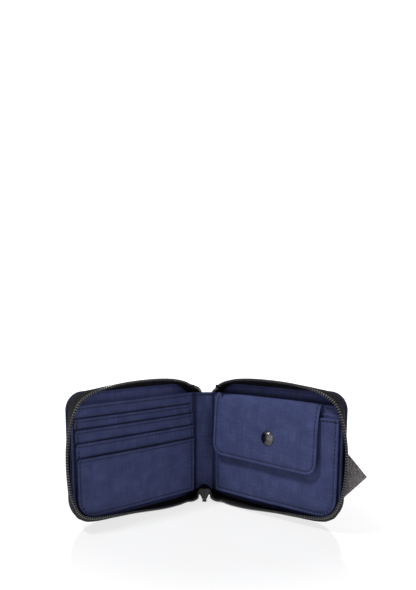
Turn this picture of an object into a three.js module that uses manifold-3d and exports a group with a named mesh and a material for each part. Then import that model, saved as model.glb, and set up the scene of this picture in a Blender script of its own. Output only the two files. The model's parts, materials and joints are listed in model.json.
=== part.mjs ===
// Zip around wallet in fabric, standing open like a book. Millimetres, +Z up, the inside faces -Y.
// Each half is built flat in its own group, with its fold line on the group's Z axis, +X towards the fore
// edge and -Y towards the inside. The left half is the mirror image of that frame.
import * as THREE from 'three';
import { mergeVertices } from 'three/addons/utils/BufferGeometryUtils.js';
import Module from 'manifold-3d';

const wasm = await Module();
wasm.setup();

// whole wallet
const spineWidth = 17;
const openAngle = THREE.MathUtils.degToRad(43.5); // each half, out of the spine's own plane
const gap = 0.3; // between pieces that touch
const foldGap = 0.6; // from the fold line to each half's pieces

// layers of a half, as distances behind the inside face of the inner panel
const panelThick = 0.8;
const billDepth = 4.5;
const liningThick = 0.6;
const boardThick = 0.8;
const coverThick = 1.2;
const liningBack = panelThick + billDepth + liningThick;
const boardBack = liningBack + gap + boardThick;
const coverBack = boardBack + gap + coverThick;

// cover and inner panel outlines
const coverWidth = 112.6;
const coverBottom = 0.3;
const coverTop = 96;
const coverTopRadius = 13;
const coverLowRadius = 22;
const dipWidth = 16; // the cover's top edge dips towards the spine, where the zip ends
const dipTop = 86;
const panelWidth = 113.4;
const panelBottom = 7.5;
const panelTop = 87.5;
const panelRadius = 17;
const panelTopRadius = 9;

// zip
const closeHalf = spineWidth / 2; // the two rows of teeth meet here when the wallet is closed
const tapeThick = 0.8;
const tapeFront = 6.6;
const beadHeight = 0.7;
const toothTip = closeHalf - gap / 2;
const toothPitch = 2.6;
const toothLength = 1.4;
const toothWidth = 2.2;

// card pockets and coin pocket
const pocketThick = 0.5;
const pocketEdges = [78.5, 71, 61.7, 51.3];
const coinTop = 78.7;
const coinFront = 2.6;
const coinThick = 0.6;

// flap and snap
const flapLeft = 4.5;
const flapRight = 98.5;
const flapBottom = 37.5;
const flapRadius = 9;
const flapAxis = new THREE.Vector2(-2, 87.1);
const flapThick = 0.6;
const snapAt = new THREE.Vector2(57.5, 59);
const shankRadius = 1;
const shankHole = 1.4;

// slider, tilted so that its wide end leans back under the spine
const sliderTilt = THREE.MathUtils.degToRad(22);
const sliderAt = new THREE.Vector3(0, -9, 6.8);
const plateThick = 1;
const channel = 2.6;
const pullerDrop = THREE.MathUtils.degToRad(13);

const finishes = {
  cover: { color: 0x3b4263, roughness: 0.9, metalness: 0 },
  lining: { color: 0x262b48, roughness: 0.9, metalness: 0 },
  panel: { color: 0x3a405d, roughness: 0.9, metalness: 0 },
  board: { color: 0x8c8578, roughness: 0.95, metalness: 0 },
  tape: { color: 0x232227, roughness: 0.85, metalness: 0 },
  teeth: { color: 0x2b2a2e, roughness: 0.4, metalness: 0 },
  metal: { color: 0x6b696c, roughness: 0.3, metalness: 1 },
  leather: { color: 0x3a3538, roughness: 0.6, metalness: 0 },
};

// ---- shape helpers ----

function piece(name, geometry, finish) {
  const material = new THREE.MeshStandardMaterial(finishes[finish]);
  const mesh = new THREE.Mesh(geometry, material);
  mesh.name = name;
  return mesh;
}

// upright outline with its own radius at each corner: spine bottom, outer bottom, outer top, spine top
function roundedOutline(x0, z0, x1, z1, radii) {
  const [a, b, c, d] = radii;
  const shape = new THREE.Shape();
  shape.moveTo(x0 + a, z0);
  shape.lineTo(x1 - b, z0);
  shape.absarc(x1 - b, z0 + b, b, -Math.PI / 2, 0, false);
  shape.lineTo(x1, z1 - c);
  shape.absarc(x1 - c, z1 - c, c, 0, Math.PI / 2, false);
  shape.lineTo(x0 + d, z1);
  shape.absarc(x0 + d, z1 - d, d, Math.PI / 2, Math.PI, false);
  shape.lineTo(x0, z0 + a);
  shape.absarc(x0 + a, z0 + a, a, Math.PI, Math.PI * 1.5, false);
  return shape;
}

// an upright sheet: the outline in X and Z, from yBack towards -Y
function sheet(shape, yBack, thickness) {
  const geometry = new THREE.ExtrudeGeometry(shape, { depth: thickness, bevelEnabled: false, curveSegments: 4 });
  geometry.rotateX(Math.PI / 2);
  geometry.translate(0, yBack, 0);
  return geometry;
}

function roundHole(x, z, radius) {
  const hole = new THREE.Path();
  hole.absarc(x, z, radius, 0, Math.PI * 2, true);
  return hole;
}

// a closed solid through a row of four-cornered sections
function lofted(sections) {
  const points = sections.flat();
  const index = [];
  for (let i = 0; i < sections.length - 1; i += 1) {
    for (let k = 0; k < 4; k += 1) {
      const a = i * 4 + k;
      const b = i * 4 + ((k + 1) % 4);
      index.push(a, b, a + 4, b, b + 4, a + 4);
    }
  }
  const last = points.length - 4;
  index.push(0, 2, 1, 0, 3, 2);
  index.push(last, last + 1, last + 2, last, last + 2, last + 3);
  const geometry = new THREE.BufferGeometry().setFromPoints(points);
  geometry.setIndex(index);
  return geometry;
}

function toSolid(geometry) {
  const bare = geometry.clone();
  bare.deleteAttribute('normal');
  bare.deleteAttribute('uv');
  const merged = mergeVertices(bare, 1e-4);
  const vertProperties = Float32Array.from(merged.attributes.position.array);
  const triVerts = Uint32Array.from(merged.index.array);
  return new wasm.Manifold(new wasm.Mesh({ numProp: 3, vertProperties, triVerts }));
}

function fromSolid(solid) {
  const mesh = solid.getMesh();
  const geometry = new THREE.BufferGeometry();
  geometry.setAttribute('position', new THREE.BufferAttribute(mesh.vertProperties, 3));
  geometry.setIndex(new THREE.BufferAttribute(mesh.triVerts, 1));
  return geometry;
}

function joined(geometries) {
  let solid = toSolid(geometries[0]);
  for (const geometry of geometries.slice(1)) {
    solid = solid.add(toSolid(geometry));
  }
  return fromSolid(solid);
}

// the mirror image across X, with its faces turned back outwards
function mirrored(geometry) {
  const flipped = geometry.index ? geometry.toNonIndexed() : geometry.clone();
  flipped.scale(-1, 1, 1);
  const position = flipped.attributes.position;
  const corner = new THREE.Vector3();
  const swap = new THREE.Vector3();
  for (let i = 0; i < position.count; i += 3) {
    corner.fromBufferAttribute(position, i + 1);
    swap.fromBufferAttribute(position, i + 2);
    position.setXYZ(i + 1, swap.x, swap.y, swap.z);
    position.setXYZ(i + 2, corner.x, corner.y, corner.z);
  }
  flipped.computeVertexNormals();
  return flipped;
}

// ---- outer shell: cover, stiffening board, lining, and the inner panel in front of the bill compartment ----

function coverOutline(x0, inset) {
  const low = coverLowRadius - inset;
  const high = coverTopRadius - inset;
  const right = coverWidth - inset;
  const top = coverTop - inset;
  const bottom = coverBottom + inset;
  const shape = new THREE.Shape();
  shape.moveTo(x0, bottom);
  shape.lineTo(right - low, bottom);
  shape.absarc(right - low, bottom + low, low, -Math.PI / 2, 0, false);
  shape.lineTo(right, top - high);
  shape.absarc(right - high, top - high, high, 0, Math.PI / 2, false);
  shape.lineTo(dipWidth, top);
  shape.bezierCurveTo(dipWidth * 0.5, top, dipWidth * 0.3, dipTop - inset + 1.5, x0, dipTop - inset);
  return shape;
}

function coverSheet() {
  return sheet(coverOutline(foldGap, 0), coverBack, coverThick);
}

function boardSheet() {
  const inset = 3.6;
  return sheet(coverOutline(inset, inset), boardBack, boardThick);
}

function liningSheet() {
  return sheet(coverOutline(foldGap, 3), liningBack, liningThick);
}

function panelSheet() {
  const shape = roundedOutline(foldGap, panelBottom, panelWidth, panelTop, [0.5, panelRadius, panelTopRadius, 0.5]);
  return sheet(shape, panelThick, panelThick);
}

// ---- card pockets: each sheet starts at its own top edge and lies in front of the one above ----

function cardPocket(number) {
  const back = -gap - number * (pocketThick + gap);
  const shape = roundedOutline(2.7, panelBottom + 0.5, panelWidth - 2.5, pocketEdges[number],
    [0.5, panelRadius - 2, 0.8, 0.8]);
  return sheet(shape, back, pocketThick);
}

// ---- zip: tape wall between cover and teeth, teeth on its inner edge ----

// outer face of the tape along its edge of teeth, in X and Z, from the top at the spine round to the bottom
function teethCurve() {
  const points = [
    [10, 94.9], [17, 98], [30, 100.6], [50, 101.7], [75, 101], [95, 98.4], [107, 94.2], [114, 88],
    [119, 76], [122.2, 60], [122.4, 45], [120.4, 29], [114.6, 14.8], [105, 8.4], [88, 5.9], [63, 3.6],
    [40, 1], [24, 0], [14, 0.2],
  ];
  return new THREE.CatmullRomCurve3(points.map(([x, z]) => new THREE.Vector3(x, 0, z)), false, 'centripetal');
}

// where the tape is sewn in, just inside the cover's edge
function seamCurve() {
  const inset = 0.7;
  const low = coverLowRadius - inset;
  const high = coverTopRadius - inset;
  const right = coverWidth - inset;
  const top = coverTop - inset;
  const bottom = coverBottom + inset;
  const path = new THREE.Path();
  path.moveTo(10, top - 3.2);
  path.bezierCurveTo(13, top - 1, 16.5, top, 22, top);
  path.lineTo(right - high, top);
  path.absarc(right - high, top - high, high, Math.PI / 2, 0, true);
  path.lineTo(right, bottom + low);
  path.absarc(right - low, bottom + low, low, 0, -Math.PI / 2, true);
  path.lineTo(14, bottom);
  return path;
}

// a point of the teeth edge moved towards the middle of the half
function edgePoint(curve, t, inward, y) {
  const point = curve.getPointAt(t);
  const tangent = curve.getTangentAt(t);
  return new THREE.Vector3(point.x + tangent.z * inward, y, point.z - tangent.x * inward);
}

function tapeWall() {
  const teeth = teethCurve();
  const seam = seamCurve();
  const seamY = boardBack;
  const steps = 48;
  const sections = [];
  for (let i = 0; i <= steps; i += 1) {
    const t = i / steps;
    const point = seam.getPointAt(t);
    const tangent = seam.getTangentAt(t);
    const inX = point.x + tangent.y * tapeThick;
    const inZ = point.y - tangent.x * tapeThick;
    sections.push([
      new THREE.Vector3(point.x, seamY, point.y),
      edgePoint(teeth, t, 0, -tapeFront),
      edgePoint(teeth, t, tapeThick, -tapeFront),
      new THREE.Vector3(inX, seamY, inZ),
    ]);
  }
  return lofted(sections);
}

// the row of teeth: a bead along the tape's edge with a tooth at every pitch
function teethRow() {
  const curve = teethCurve();
  const beadBack = -(tapeFront + gap);
  const beadFront = beadBack - beadHeight;
  const inner = toothWidth - 0.2;
  const steps = 54;
  const sections = [];
  for (let i = 0; i <= steps; i += 1) {
    const t = i / steps;
    sections.push([
      edgePoint(curve, t, 0.2, beadBack),
      edgePoint(curve, t, 0.2, beadFront),
      edgePoint(curve, t, inner, beadFront),
      edgePoint(curve, t, inner, beadBack),
    ]);
  }
  const parts = [lofted(sections)];
  const count = Math.floor(curve.getLength() / toothPitch);
  const toothHeight = toothTip + beadBack + 0.1;
  for (let i = 0; i < count; i += 1) {
    const t = (i + 0.5) / count;
    const tangent = curve.getTangentAt(t);
    const tooth = new THREE.BoxGeometry(toothLength, toothHeight, toothWidth - 0.1);
    tooth.rotateY(-Math.atan2(tangent.z, tangent.x));
    const middle = edgePoint(curve, t, toothWidth / 2, -toothTip + toothHeight / 2);
    tooth.translate(middle.x, middle.y, middle.z);
    parts.push(tooth);
  }
  return joined(parts);
}

function topStop() {
  const curve = teethCurve();
  const middle = edgePoint(curve, 0, toothWidth / 2, -7.5);
  const stop = new THREE.BoxGeometry(2.4, 1.6, 2.6);
  stop.translate(middle.x - 1.6, middle.y, middle.z - 0.7);
  return stop;
}

// ---- coin pocket: back sheet, folded gusset round three sides, front sheet with the snap's lower part ----

const pocketLeft = 2.7;
const pocketRight = panelWidth - 2.5;
const pocketLow = panelBottom + 0.5;

function coinOutline(inset, top) {
  const radius = panelRadius - 2 - inset;
  return roundedOutline(pocketLeft + inset, pocketLow + inset, pocketRight - inset, top,
    [0.5, radius, 0.8, 0.8]);
}

function coinBack() {
  return sheet(coinOutline(0, coinTop + 3), -gap, pocketThick);
}

function coinGusset() {
  const outside = coinOutline(0, coinTop);
  const back = -gap - pocketThick - gap;
  const thickness = coinFront - coinThick - gap + back;
  const frame = toSolid(sheet(outside, back, thickness));
  const inside = coinOutline(2.4, coinTop + 5);
  const hollow = toSolid(sheet(inside, back + 1, thickness + 2));
  return fromSolid(frame.subtract(hollow));
}

function coinFrontSheet() {
  const shape = coinOutline(0, coinTop);
  shape.holes.push(roundHole(snapAt.x, snapAt.y, shankHole));
  return sheet(shape, -coinFront + coinThick, coinThick);
}

// ---- flap: two curved sheets that hang from the panel's top edge ----

// the flap's side view between two distances from its back face
function flapProfile(near, far) {
  const middle = new THREE.SplineCurve([
    flapAxis.clone(),
    new THREE.Vector2(-3.9, 82.5),
    new THREE.Vector2(-5.4, 75),
    new THREE.Vector2(-6.3, 62),
    new THREE.Vector2(-6.9, flapBottom - 2),
  ]);
  const steps = 14;
  const inside = [];
  const outside = [];
  for (let i = 0; i <= steps; i += 1) {
    const point = middle.getPoint(i / steps);
    const tangent = middle.getTangent(i / steps);
    inside.push(new THREE.Vector2(point.x + tangent.y * near, point.y - tangent.x * near));
    outside.push(new THREE.Vector2(point.x + tangent.y * far, point.y - tangent.x * far));
  }
  return new THREE.Shape([...inside, ...outside.reverse()]);
}

function flapSheet(near, far, inset) {
  const length = flapRight - flapLeft;
  const bend = new THREE.ExtrudeGeometry(flapProfile(near, far), { depth: length, bevelEnabled: false });
  // the side view's X and Y become Y and Z, and its depth runs along X
  const turn = new THREE.Matrix4().set(0, 0, 1, flapLeft, 1, 0, 0, 0, 0, 1, 0, 0, 0, 0, 0, 1);
  bend.applyMatrix4(turn);
  const outline = roundedOutline(flapLeft + inset, flapBottom + inset, flapRight - inset, flapAxis.y + 2,
    [flapRadius, flapRadius, 0.5, 0.5]);
  outline.holes.push(roundHole(snapAt.x, snapAt.y, shankHole));
  const cutter = sheet(outline, 10, 30);
  return fromSolid(toSolid(bend).intersect(toSolid(cutter)));
}

function flapSeam() {
  const shape = roundedOutline(flapLeft, 82, flapRight, panelTop, [0.5, 0.5, 0.5, 0.5]);
  return sheet(shape, -gap, 0.7);
}

// ---- snap fastener: profiles of radius and distance in front of the panel, turned about the snap's axis ----

function turned(profile, segments) {
  const geometry = new THREE.LatheGeometry(profile.map(([r, y]) => new THREE.Vector2(r, y)), segments);
  geometry.rotateX(Math.PI);
  geometry.translate(snapAt.x, 0, snapAt.y);
  return geometry;
}

function snapCap(front) {
  const dome = [[0, front - 0.6 - flapThick * 2], [shankRadius, front - 0.6 - flapThick * 2],
    [shankRadius, front]];
  const rim = 5.4;
  dome.push([rim - 0.4, front], [rim, front + 0.4]);
  for (let i = 1; i <= 7; i += 1) {
    const angle = (i / 7) * Math.PI / 2;
    dome.push([rim * Math.cos(angle), front + 0.4 + 2 * Math.sin(angle)]);
  }
  dome[dome.length - 1][0] = 0;
  return dome;
}

function snapSocket(near, far) {
  return [[2.3, near], [4.6, near], [4.9, near + 0.4], [4.9, far - 0.4], [4.6, far], [2.3, far], [2.3, near]];
}

function snapStud(near) {
  return [[0, near], [3.8, near], [3.8, near + 0.4], [1.9, near + 0.5], [1.6, near + 1.2], [1.9, near + 1.7],
    [1.6, near + 2.2], [0, near + 2.3]];
}

function snapPost(near) {
  return [[0, near], [3.4, near], [3.4, near + 0.4], [shankRadius, near + 0.4], [shankRadius, near + 1.4],
    [0, near + 1.4]];
}

// ---- slider, its chain end and its puller, in the slider's own frame: +Z to the wide end, -Y the inner face ----

function sliderOutline() {
  const shape = new THREE.Shape();
  shape.moveTo(-1.9, -3.9);
  shape.lineTo(1.9, -3.9);
  shape.bezierCurveTo(2.6, -2, 4.6, 0, 5, 2.4);
  shape.bezierCurveTo(5.1, 3.6, 4.4, 4.6, 3.2, 4.6);
  shape.lineTo(-3.2, 4.6);
  shape.bezierCurveTo(-4.4, 4.6, -5.1, 3.6, -5, 2.4);
  shape.bezierCurveTo(-4.6, 0, -2.6, -2, -1.9, -3.9);
  return shape;
}

function sliderBody() {
  const half = channel / 2;
  const innerPlate = sheet(sliderOutline(), -half, plateThick);
  const outerPlate = sheet(sliderOutline(), half + plateThick, plateThick);
  const post = new THREE.CylinderGeometry(1.1, 1.1, channel + 1, 6);
  post.translate(0, 0, 3.1);
  const bridge = new THREE.Shape();
  bridge.moveTo(-3, 0);
  bridge.lineTo(3, 0);
  bridge.lineTo(2.6, 2.6);
  bridge.lineTo(-2.6, 2.6);
  const eye = new THREE.Path();
  eye.moveTo(-1.8, 0.4);
  eye.lineTo(-1.6, 1.8);
  eye.lineTo(1.6, 1.8);
  eye.lineTo(1.8, 0.4);
  bridge.holes.push(eye);
  const arch = new THREE.ExtrudeGeometry(bridge, { depth: 1.8, bevelEnabled: false });
  // the arch stands on the outer plate, and its eye runs across the slider
  const turn = new THREE.Matrix4().set(0, 0, 1, -0.9, 0, 1, 0, half + plateThick - 0.3, 1, 0, 0, 0.6, 0, 0, 0, 1);
  arch.applyMatrix4(turn);
  return joined([innerPlate, outerPlate, post, arch]);
}

function chainEnd() {
  const shape = roundedOutline(-2.1, -3.9, 2.1, 1.2, [0.3, 0.3, 0.3, 0.3]);
  return sheet(shape, 0.9, 1.8);
}

function bottomStop() {
  const shape = roundedOutline(-1.6, -6.3, 1.6, -4.2, [0.7, 0.7, 0.3, 0.3]);
  return sheet(shape, 1.2, 2.4);
}

// the puller in its own frame: its pin runs along X through the bridge, its blade along +Y
function puller() {
  const blade = new THREE.Shape();
  blade.moveTo(-2.6, -0.9);
  blade.lineTo(2.6, -0.9);
  blade.lineTo(2.9, 17);
  blade.absarc(0, 17, 2.9, 0, Math.PI, false);
  const window = new THREE.Path();
  window.moveTo(-1.5, 0.7);
  window.lineTo(1.5, 0.7);
  window.lineTo(1.5, 4.2);
  window.lineTo(-1.5, 4.2);
  blade.holes.push(window);
  const geometry = new THREE.ExtrudeGeometry(blade, { depth: 1.1, bevelEnabled: false, curveSegments: 8 });
  geometry.translate(0, 0, -0.55);
  return geometry;
}

// ---- spine, with an arch at its foot where the slider parks ----

function spineSheet(bottom, top, back, thickness) {
  const x = spineWidth / 2 - gap;
  const archHalf = 7.2;
  const archTop = 12.5;
  const shape = new THREE.Shape();
  shape.moveTo(-x, bottom);
  shape.lineTo(-archHalf, bottom);
  shape.bezierCurveTo(-4.5, bottom + 0.5, -3.5, archTop, 0, archTop);
  shape.bezierCurveTo(3.5, archTop, 4.5, bottom + 0.5, archHalf, bottom);
  shape.lineTo(x, bottom);
  shape.lineTo(x, top);
  shape.lineTo(-x, top);
  return sheet(shape, back, thickness);
}

// ---- grip tab: a small square of leather on its point, sewn behind the fore edge ----

function gripTab() {
  const side = 25;
  const corner = roundedOutline(-side / 2, -side / 2, side / 2, side / 2, [1.2, 1.2, 1.2, 1.2]);
  const geometry = sheet(corner, 0, 1.6);
  geometry.rotateY(THREE.MathUtils.degToRad(47));
  geometry.translate(coverWidth - 2.2, coverBack + gap + 1.6, 39);
  return geometry;
}

// ---- assembly ----

const leftHalf = new THREE.Group();
leftHalf.position.x = -spineWidth / 2;
leftHalf.rotation.z = openAngle;
leftHalf.add(piece('cover_left', mirrored(coverSheet()), 'cover'));
leftHalf.add(piece('board_left', mirrored(boardSheet()), 'board'));
leftHalf.add(piece('lining_left', mirrored(liningSheet()), 'lining'));
leftHalf.add(piece('panel_left', mirrored(panelSheet()), 'panel'));
for (let i = 0; i < pocketEdges.length; i += 1) {
  leftHalf.add(piece(`card_pocket_${i + 1}`, mirrored(cardPocket(i)), 'panel'));
}
leftHalf.add(piece('zip_tape_left', mirrored(tapeWall()), 'tape'));
leftHalf.add(piece('zip_teeth_left', mirrored(teethRow()), 'teeth'));
leftHalf.add(piece('zip_top_stop_left', mirrored(topStop()), 'metal'));

const rightHalf = new THREE.Group();
rightHalf.position.x = spineWidth / 2;
rightHalf.rotation.z = -openAngle;
rightHalf.add(piece('cover_right', coverSheet(), 'cover'));
rightHalf.add(piece('board_right', boardSheet(), 'board'));
rightHalf.add(piece('lining_right', liningSheet(), 'lining'));
rightHalf.add(piece('panel_right', panelSheet(), 'panel'));
rightHalf.add(piece('coin_pocket_back', coinBack(), 'panel'));
rightHalf.add(piece('coin_pocket_gusset', coinGusset(), 'panel'));
rightHalf.add(piece('coin_pocket_front', coinFrontSheet(), 'panel'));
rightHalf.add(piece('flap_seam', flapSeam(), 'panel'));
rightHalf.add(piece('snap_stud', turned(snapStud(coinFront + gap), 24), 'metal'));
rightHalf.add(piece('snap_post', turned(snapPost(coinFront - coinThick - gap - 0.4), 24), 'metal'));
rightHalf.add(piece('grip_tab', gripTab(), 'leather'));
rightHalf.add(piece('zip_tape_right', tapeWall(), 'tape'));
rightHalf.add(piece('zip_teeth_right', teethRow(), 'teeth'));
rightHalf.add(piece('zip_top_stop_right', topStop(), 'metal'));

const flapSplit = 0.15;
rightHalf.add(piece('coin_flap', flapSheet(flapSplit, flapSplit + flapThick, 0), 'panel'));
rightHalf.add(piece('coin_flap_lining', flapSheet(-flapSplit - flapThick, -flapSplit, 0.8), 'panel'));
const flapFront = 6.45 + flapSplit + flapThick;
rightHalf.add(piece('snap_cap', turned(snapCap(flapFront + gap), 28), 'metal'));
rightHalf.add(piece('snap_socket', turned(snapSocket(coinFront + 0.9, coinFront + 2.7), 24), 'metal'));

const slider = new THREE.Group();
slider.position.copy(sliderAt);
slider.rotation.x = -sliderTilt;
slider.add(piece('zip_slider', sliderBody(), 'metal'));
slider.add(piece('zip_chain_end', chainEnd(), 'teeth'));
slider.add(piece('zip_bottom_stop', bottomStop(), 'metal'));
const pull = new THREE.Group();
pull.position.set(0, channel / 2 + plateThick + 0.9, 0.6);
pull.rotation.x = sliderTilt - pullerDrop;
pull.add(piece('zip_puller', puller(), 'metal'));
slider.add(pull);

const spine = new THREE.Group();
spine.add(piece('spine_cover', spineSheet(coverBottom, dipTop, coverBack, coverThick), 'cover'));
spine.add(piece('spine_lining', spineSheet(coverBottom + 2.2, dipTop - 2.2, liningBack, liningThick), 'lining'));
spine.add(piece('spine_panel', spineSheet(panelBottom - 1, panelTop, panelThick, panelThick), 'panel'));

// the wallet's origin is on the surface it stands on, below the middle of its box
const wallet = new THREE.Group();
wallet.add(leftHalf, rightHalf, slider, spine);
wallet.updateMatrixWorld(true);
const box = new THREE.Box3().setFromObject(wallet, true);
wallet.position.set(-(box.min.x + box.max.x) / 2, -(box.min.y + box.max.y) / 2, -box.min.z);

export default wallet;
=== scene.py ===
import json
import math

import bmesh
import bpy
from mathutils import Matrix, Vector, noise


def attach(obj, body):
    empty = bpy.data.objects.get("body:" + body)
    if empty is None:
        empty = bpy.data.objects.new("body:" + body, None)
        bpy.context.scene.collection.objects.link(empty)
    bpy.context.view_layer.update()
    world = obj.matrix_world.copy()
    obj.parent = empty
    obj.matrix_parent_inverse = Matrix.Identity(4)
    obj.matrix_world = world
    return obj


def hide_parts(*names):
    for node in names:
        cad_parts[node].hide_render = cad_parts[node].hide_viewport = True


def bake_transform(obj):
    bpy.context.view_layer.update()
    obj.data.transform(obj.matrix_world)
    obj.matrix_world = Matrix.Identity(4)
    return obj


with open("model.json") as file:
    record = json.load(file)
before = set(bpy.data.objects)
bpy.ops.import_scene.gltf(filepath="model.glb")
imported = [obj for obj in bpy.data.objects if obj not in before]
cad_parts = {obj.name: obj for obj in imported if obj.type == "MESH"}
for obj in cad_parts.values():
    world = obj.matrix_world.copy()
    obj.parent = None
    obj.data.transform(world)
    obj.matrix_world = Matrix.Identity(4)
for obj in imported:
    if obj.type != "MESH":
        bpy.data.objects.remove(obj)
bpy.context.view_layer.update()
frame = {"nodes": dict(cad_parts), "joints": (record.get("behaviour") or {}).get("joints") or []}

mm = 0.001
joints = {joint["name"]: joint for joint in frame["joints"]}
leftFold = Vector(joints["left_fold"]["pos_m"])
rightFold = Vector(joints["right_fold"]["pos_m"])
openAngle = math.radians(joints["right_fold"]["range_deg"][1])
spineHalf = (rightFold.x - leftFold.x) / 2 / mm
spineMiddle = Vector(((leftFold.x + rightFold.x) / 2, rightFold.y, 0))
mirror = {"left": -1, "right": 1}
toViewer = Vector((0, -1, 0))
scene = bpy.context.scene


# a point of one half in mm: u from the fold line, y behind the inner face, z above the floor
def halfPoint(side, u, y, z):
    x = spineHalf + u * math.cos(openAngle) + y * math.sin(openAngle)
    return Vector((mirror[side] * x, -u * math.sin(openAngle) + y * math.cos(openAngle), z))


# a point of a layer that runs from the spine round the fold to the half, s from the fold line
def layerPoint(side, s, y, z):
    bend = max(y, 0) * openAngle
    if s <= 0:
        return Vector((mirror[side] * (spineHalf + s), y, z))
    if s < bend:
        turn = s / y
        return Vector((mirror[side] * (spineHalf + y * math.sin(turn)), y * math.cos(turn), z))
    return halfPoint(side, s - bend, y, z)


def toWorld(point):
    return spineMiddle + Vector(point) * mm


def inward(side):
    return halfPoint(side, 0, -1, 0) - halfPoint(side, 0, 0, 0)


# steps from start to end, close together near a sewn edge
def steps(start, end, pitch, closeStart=True, closeEnd=True):
    near = [0, 0.3, 0.8, 1.4, 2.0, 2.4, 2.8, 3.5, 5.0, 7.0, 9.5, 12.0]
    left = [start + d for d in near] if closeStart else [start]
    right = [end - d for d in reversed(near)] if closeEnd else [end]
    count = max(1, round((right[0] - left[-1]) / pitch))
    middle = [left[-1] + (right[0] - left[-1]) * i / count for i in range(1, count)]
    return left + middle + right


# points at even spacing along a smooth curve through the given ones
def smoothPath(points, count):
    points = [Vector(p) for p in points]
    dense = []
    for i in range(len(points) - 1):
        before, after = points[max(i - 1, 0)], points[min(i + 2, len(points) - 1)]
        a, b = points[i], points[i + 1]
        for k in range(16):
            t = k / 16
            dense.append(a * (2 * t ** 3 - 3 * t * t + 1) + b * (3 * t * t - 2 * t ** 3)
                         + (b - before) * 0.5 * (t ** 3 - 2 * t * t + t)
                         + (after - a) * 0.5 * (t ** 3 - t * t))
    dense.append(points[-1])
    return resample(dense, count)


def resample(dense, count):
    lengths = [0]
    for a, b in zip(dense, dense[1:]):
        lengths.append(lengths[-1] + (b - a).length)
    out, k = [], 0
    for i in range(count):
        want = lengths[-1] * i / (count - 1)
        while k < len(dense) - 2 and lengths[k + 1] < want:
            k += 1
        span = max(lengths[k + 1] - lengths[k], 1e-9)
        out.append(dense[k].lerp(dense[k + 1], min(1, (want - lengths[k]) / span)))
    return out


# a line of corners with each corner rounded
def roundCorners(corners, radius):
    corners = [Vector(c) for c in corners]
    line = [corners[0]]
    for before, corner, after in zip(corners, corners[1:], corners[2:]):
        a = corner + (before - corner).normalized() * radius
        b = corner + (after - corner).normalized() * radius
        line += [a.lerp(corner, t).lerp(corner.lerp(b, t), t) for t in (0, 0.25, 0.5, 0.75, 1)]
    return line + [corners[-1]]


# lowest and highest z of a rounded outline at one place along it
def outlineAt(s, box, lowRadius, highRadius, startRadius=0):
    s0, z0, s1, z1 = box
    low, high = z0, z1
    over = s - (s1 - lowRadius)
    if over > 0:
        low = z0 + lowRadius - math.sqrt(max(lowRadius ** 2 - over ** 2, 0))
    over = s - (s1 - highRadius)
    if highRadius and over > 0:
        high = z1 - highRadius + math.sqrt(max(highRadius ** 2 - over ** 2, 0))
    over = s0 + startRadius - s
    if startRadius and over > 0:
        low = max(low, z0 + startRadius - math.sqrt(max(startRadius ** 2 - over ** 2, 0)))
    return low, high


# how far in a point is from a rounded outline's edge
def edgeDistance(s, z, box, lowRadius, highRadius, startRadius=0):
    s0, z0, s1, z1 = box
    inside = min(s - s0, s1 - s, z - z0, z1 - z)
    for cornerS, cornerZ, radius, beyondS, beyondZ in (
            (s1 - lowRadius, z0 + lowRadius, lowRadius, 1, -1),
            (s1 - highRadius, z1 - highRadius, highRadius, 1, 1),
            (s0 + startRadius, z0 + startRadius, startRadius, -1, -1)):
        if radius and (s - cornerS) * beyondS > 0 and (z - cornerZ) * beyondZ > 0:
            inside = min(inside, radius - math.hypot(s - cornerS, z - cornerZ))
    return max(inside, 0)


# a turned hem: a round fold, a dip where the seam pulls it in, then flat cloth
def hemRelief(distance, look):
    seam = look["seam"]
    if distance < seam:
        rise = look["rise"] * (1 - abs(2 * distance / seam - 1) ** 3)
    else:
        rise = look["puff"] * (1 - math.exp(-(distance - seam) / 3))
    return rise - look["dip"] * math.exp(-((distance - seam) / 0.5) ** 2)


# painted shade: how much darker the cloth's colour is painted in a seam's groove, and just above the mouth
# of the pocket in front of it, where shade falls
def seamShade(distance, seam):
    return 0.2 * math.exp(-((distance - seam) / 0.5) ** 2)


def mouthShade(z, edge):
    return 0.8 * math.exp(-(max(z - edge - 0.2, 0) / 0.5) ** 2) if z > edge - 1.5 else 0


# rows of cloth added on both sides of a pocket's mouth
def aroundMouth(rows, edge):
    near = [edge + d for d in (-1.6, -0.6, 0.2, 0.7, 1.2, 1.9)]
    return sorted([z for z in rows if min(abs(z - n) for n in near) > 0.4] + near)


def unevenness(s, z, seed, size=0.25):
    broad = noise.noise(Vector((s * 0.035, z * 0.04, seed)))
    fine = noise.noise(Vector((s * 0.11, z * 0.12, seed + 7.3)))
    return size * (broad + 0.35 * fine)


def fromHex(text):
    out = []
    for i in (0, 2, 4):
        value = int(text[i:i + 2], 16) / 255
        out.append(value / 12.92 if value <= 0.04045 else ((value + 0.055) / 1.055) ** 2.4)
    return (*out, 1)


def newMaterial(name):
    material = bpy.data.materials.new(name)
    material.use_nodes = True
    tree = material.node_tree
    return material, tree, tree.nodes["Principled BSDF"]


def calc(tree, operation, first, second=None, third=None):
    node = tree.nodes.new("ShaderNodeMath")
    node.operation = operation
    for socket, value in zip(node.inputs, (first, second, third)):
        if isinstance(value, (int, float)):
            socket.default_value = value
        elif value is not None:
            tree.links.new(value, socket)
    return node.outputs[0]


def noiseNode(tree, vector, scale, detail=3.0, roughness=0.55):
    node = tree.nodes.new("ShaderNodeTexNoise")
    node.inputs["Scale"].default_value = scale
    node.inputs["Detail"].default_value = detail
    node.inputs["Roughness"].default_value = roughness
    tree.links.new(vector, node.inputs["Vector"])
    return node.outputs["Fac"]


def stretched(tree, vector, scale):
    node = tree.nodes.new("ShaderNodeMapping")
    node.inputs["Scale"].default_value = scale
    tree.links.new(vector, node.inputs["Vector"])
    return node.outputs["Vector"]


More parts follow.
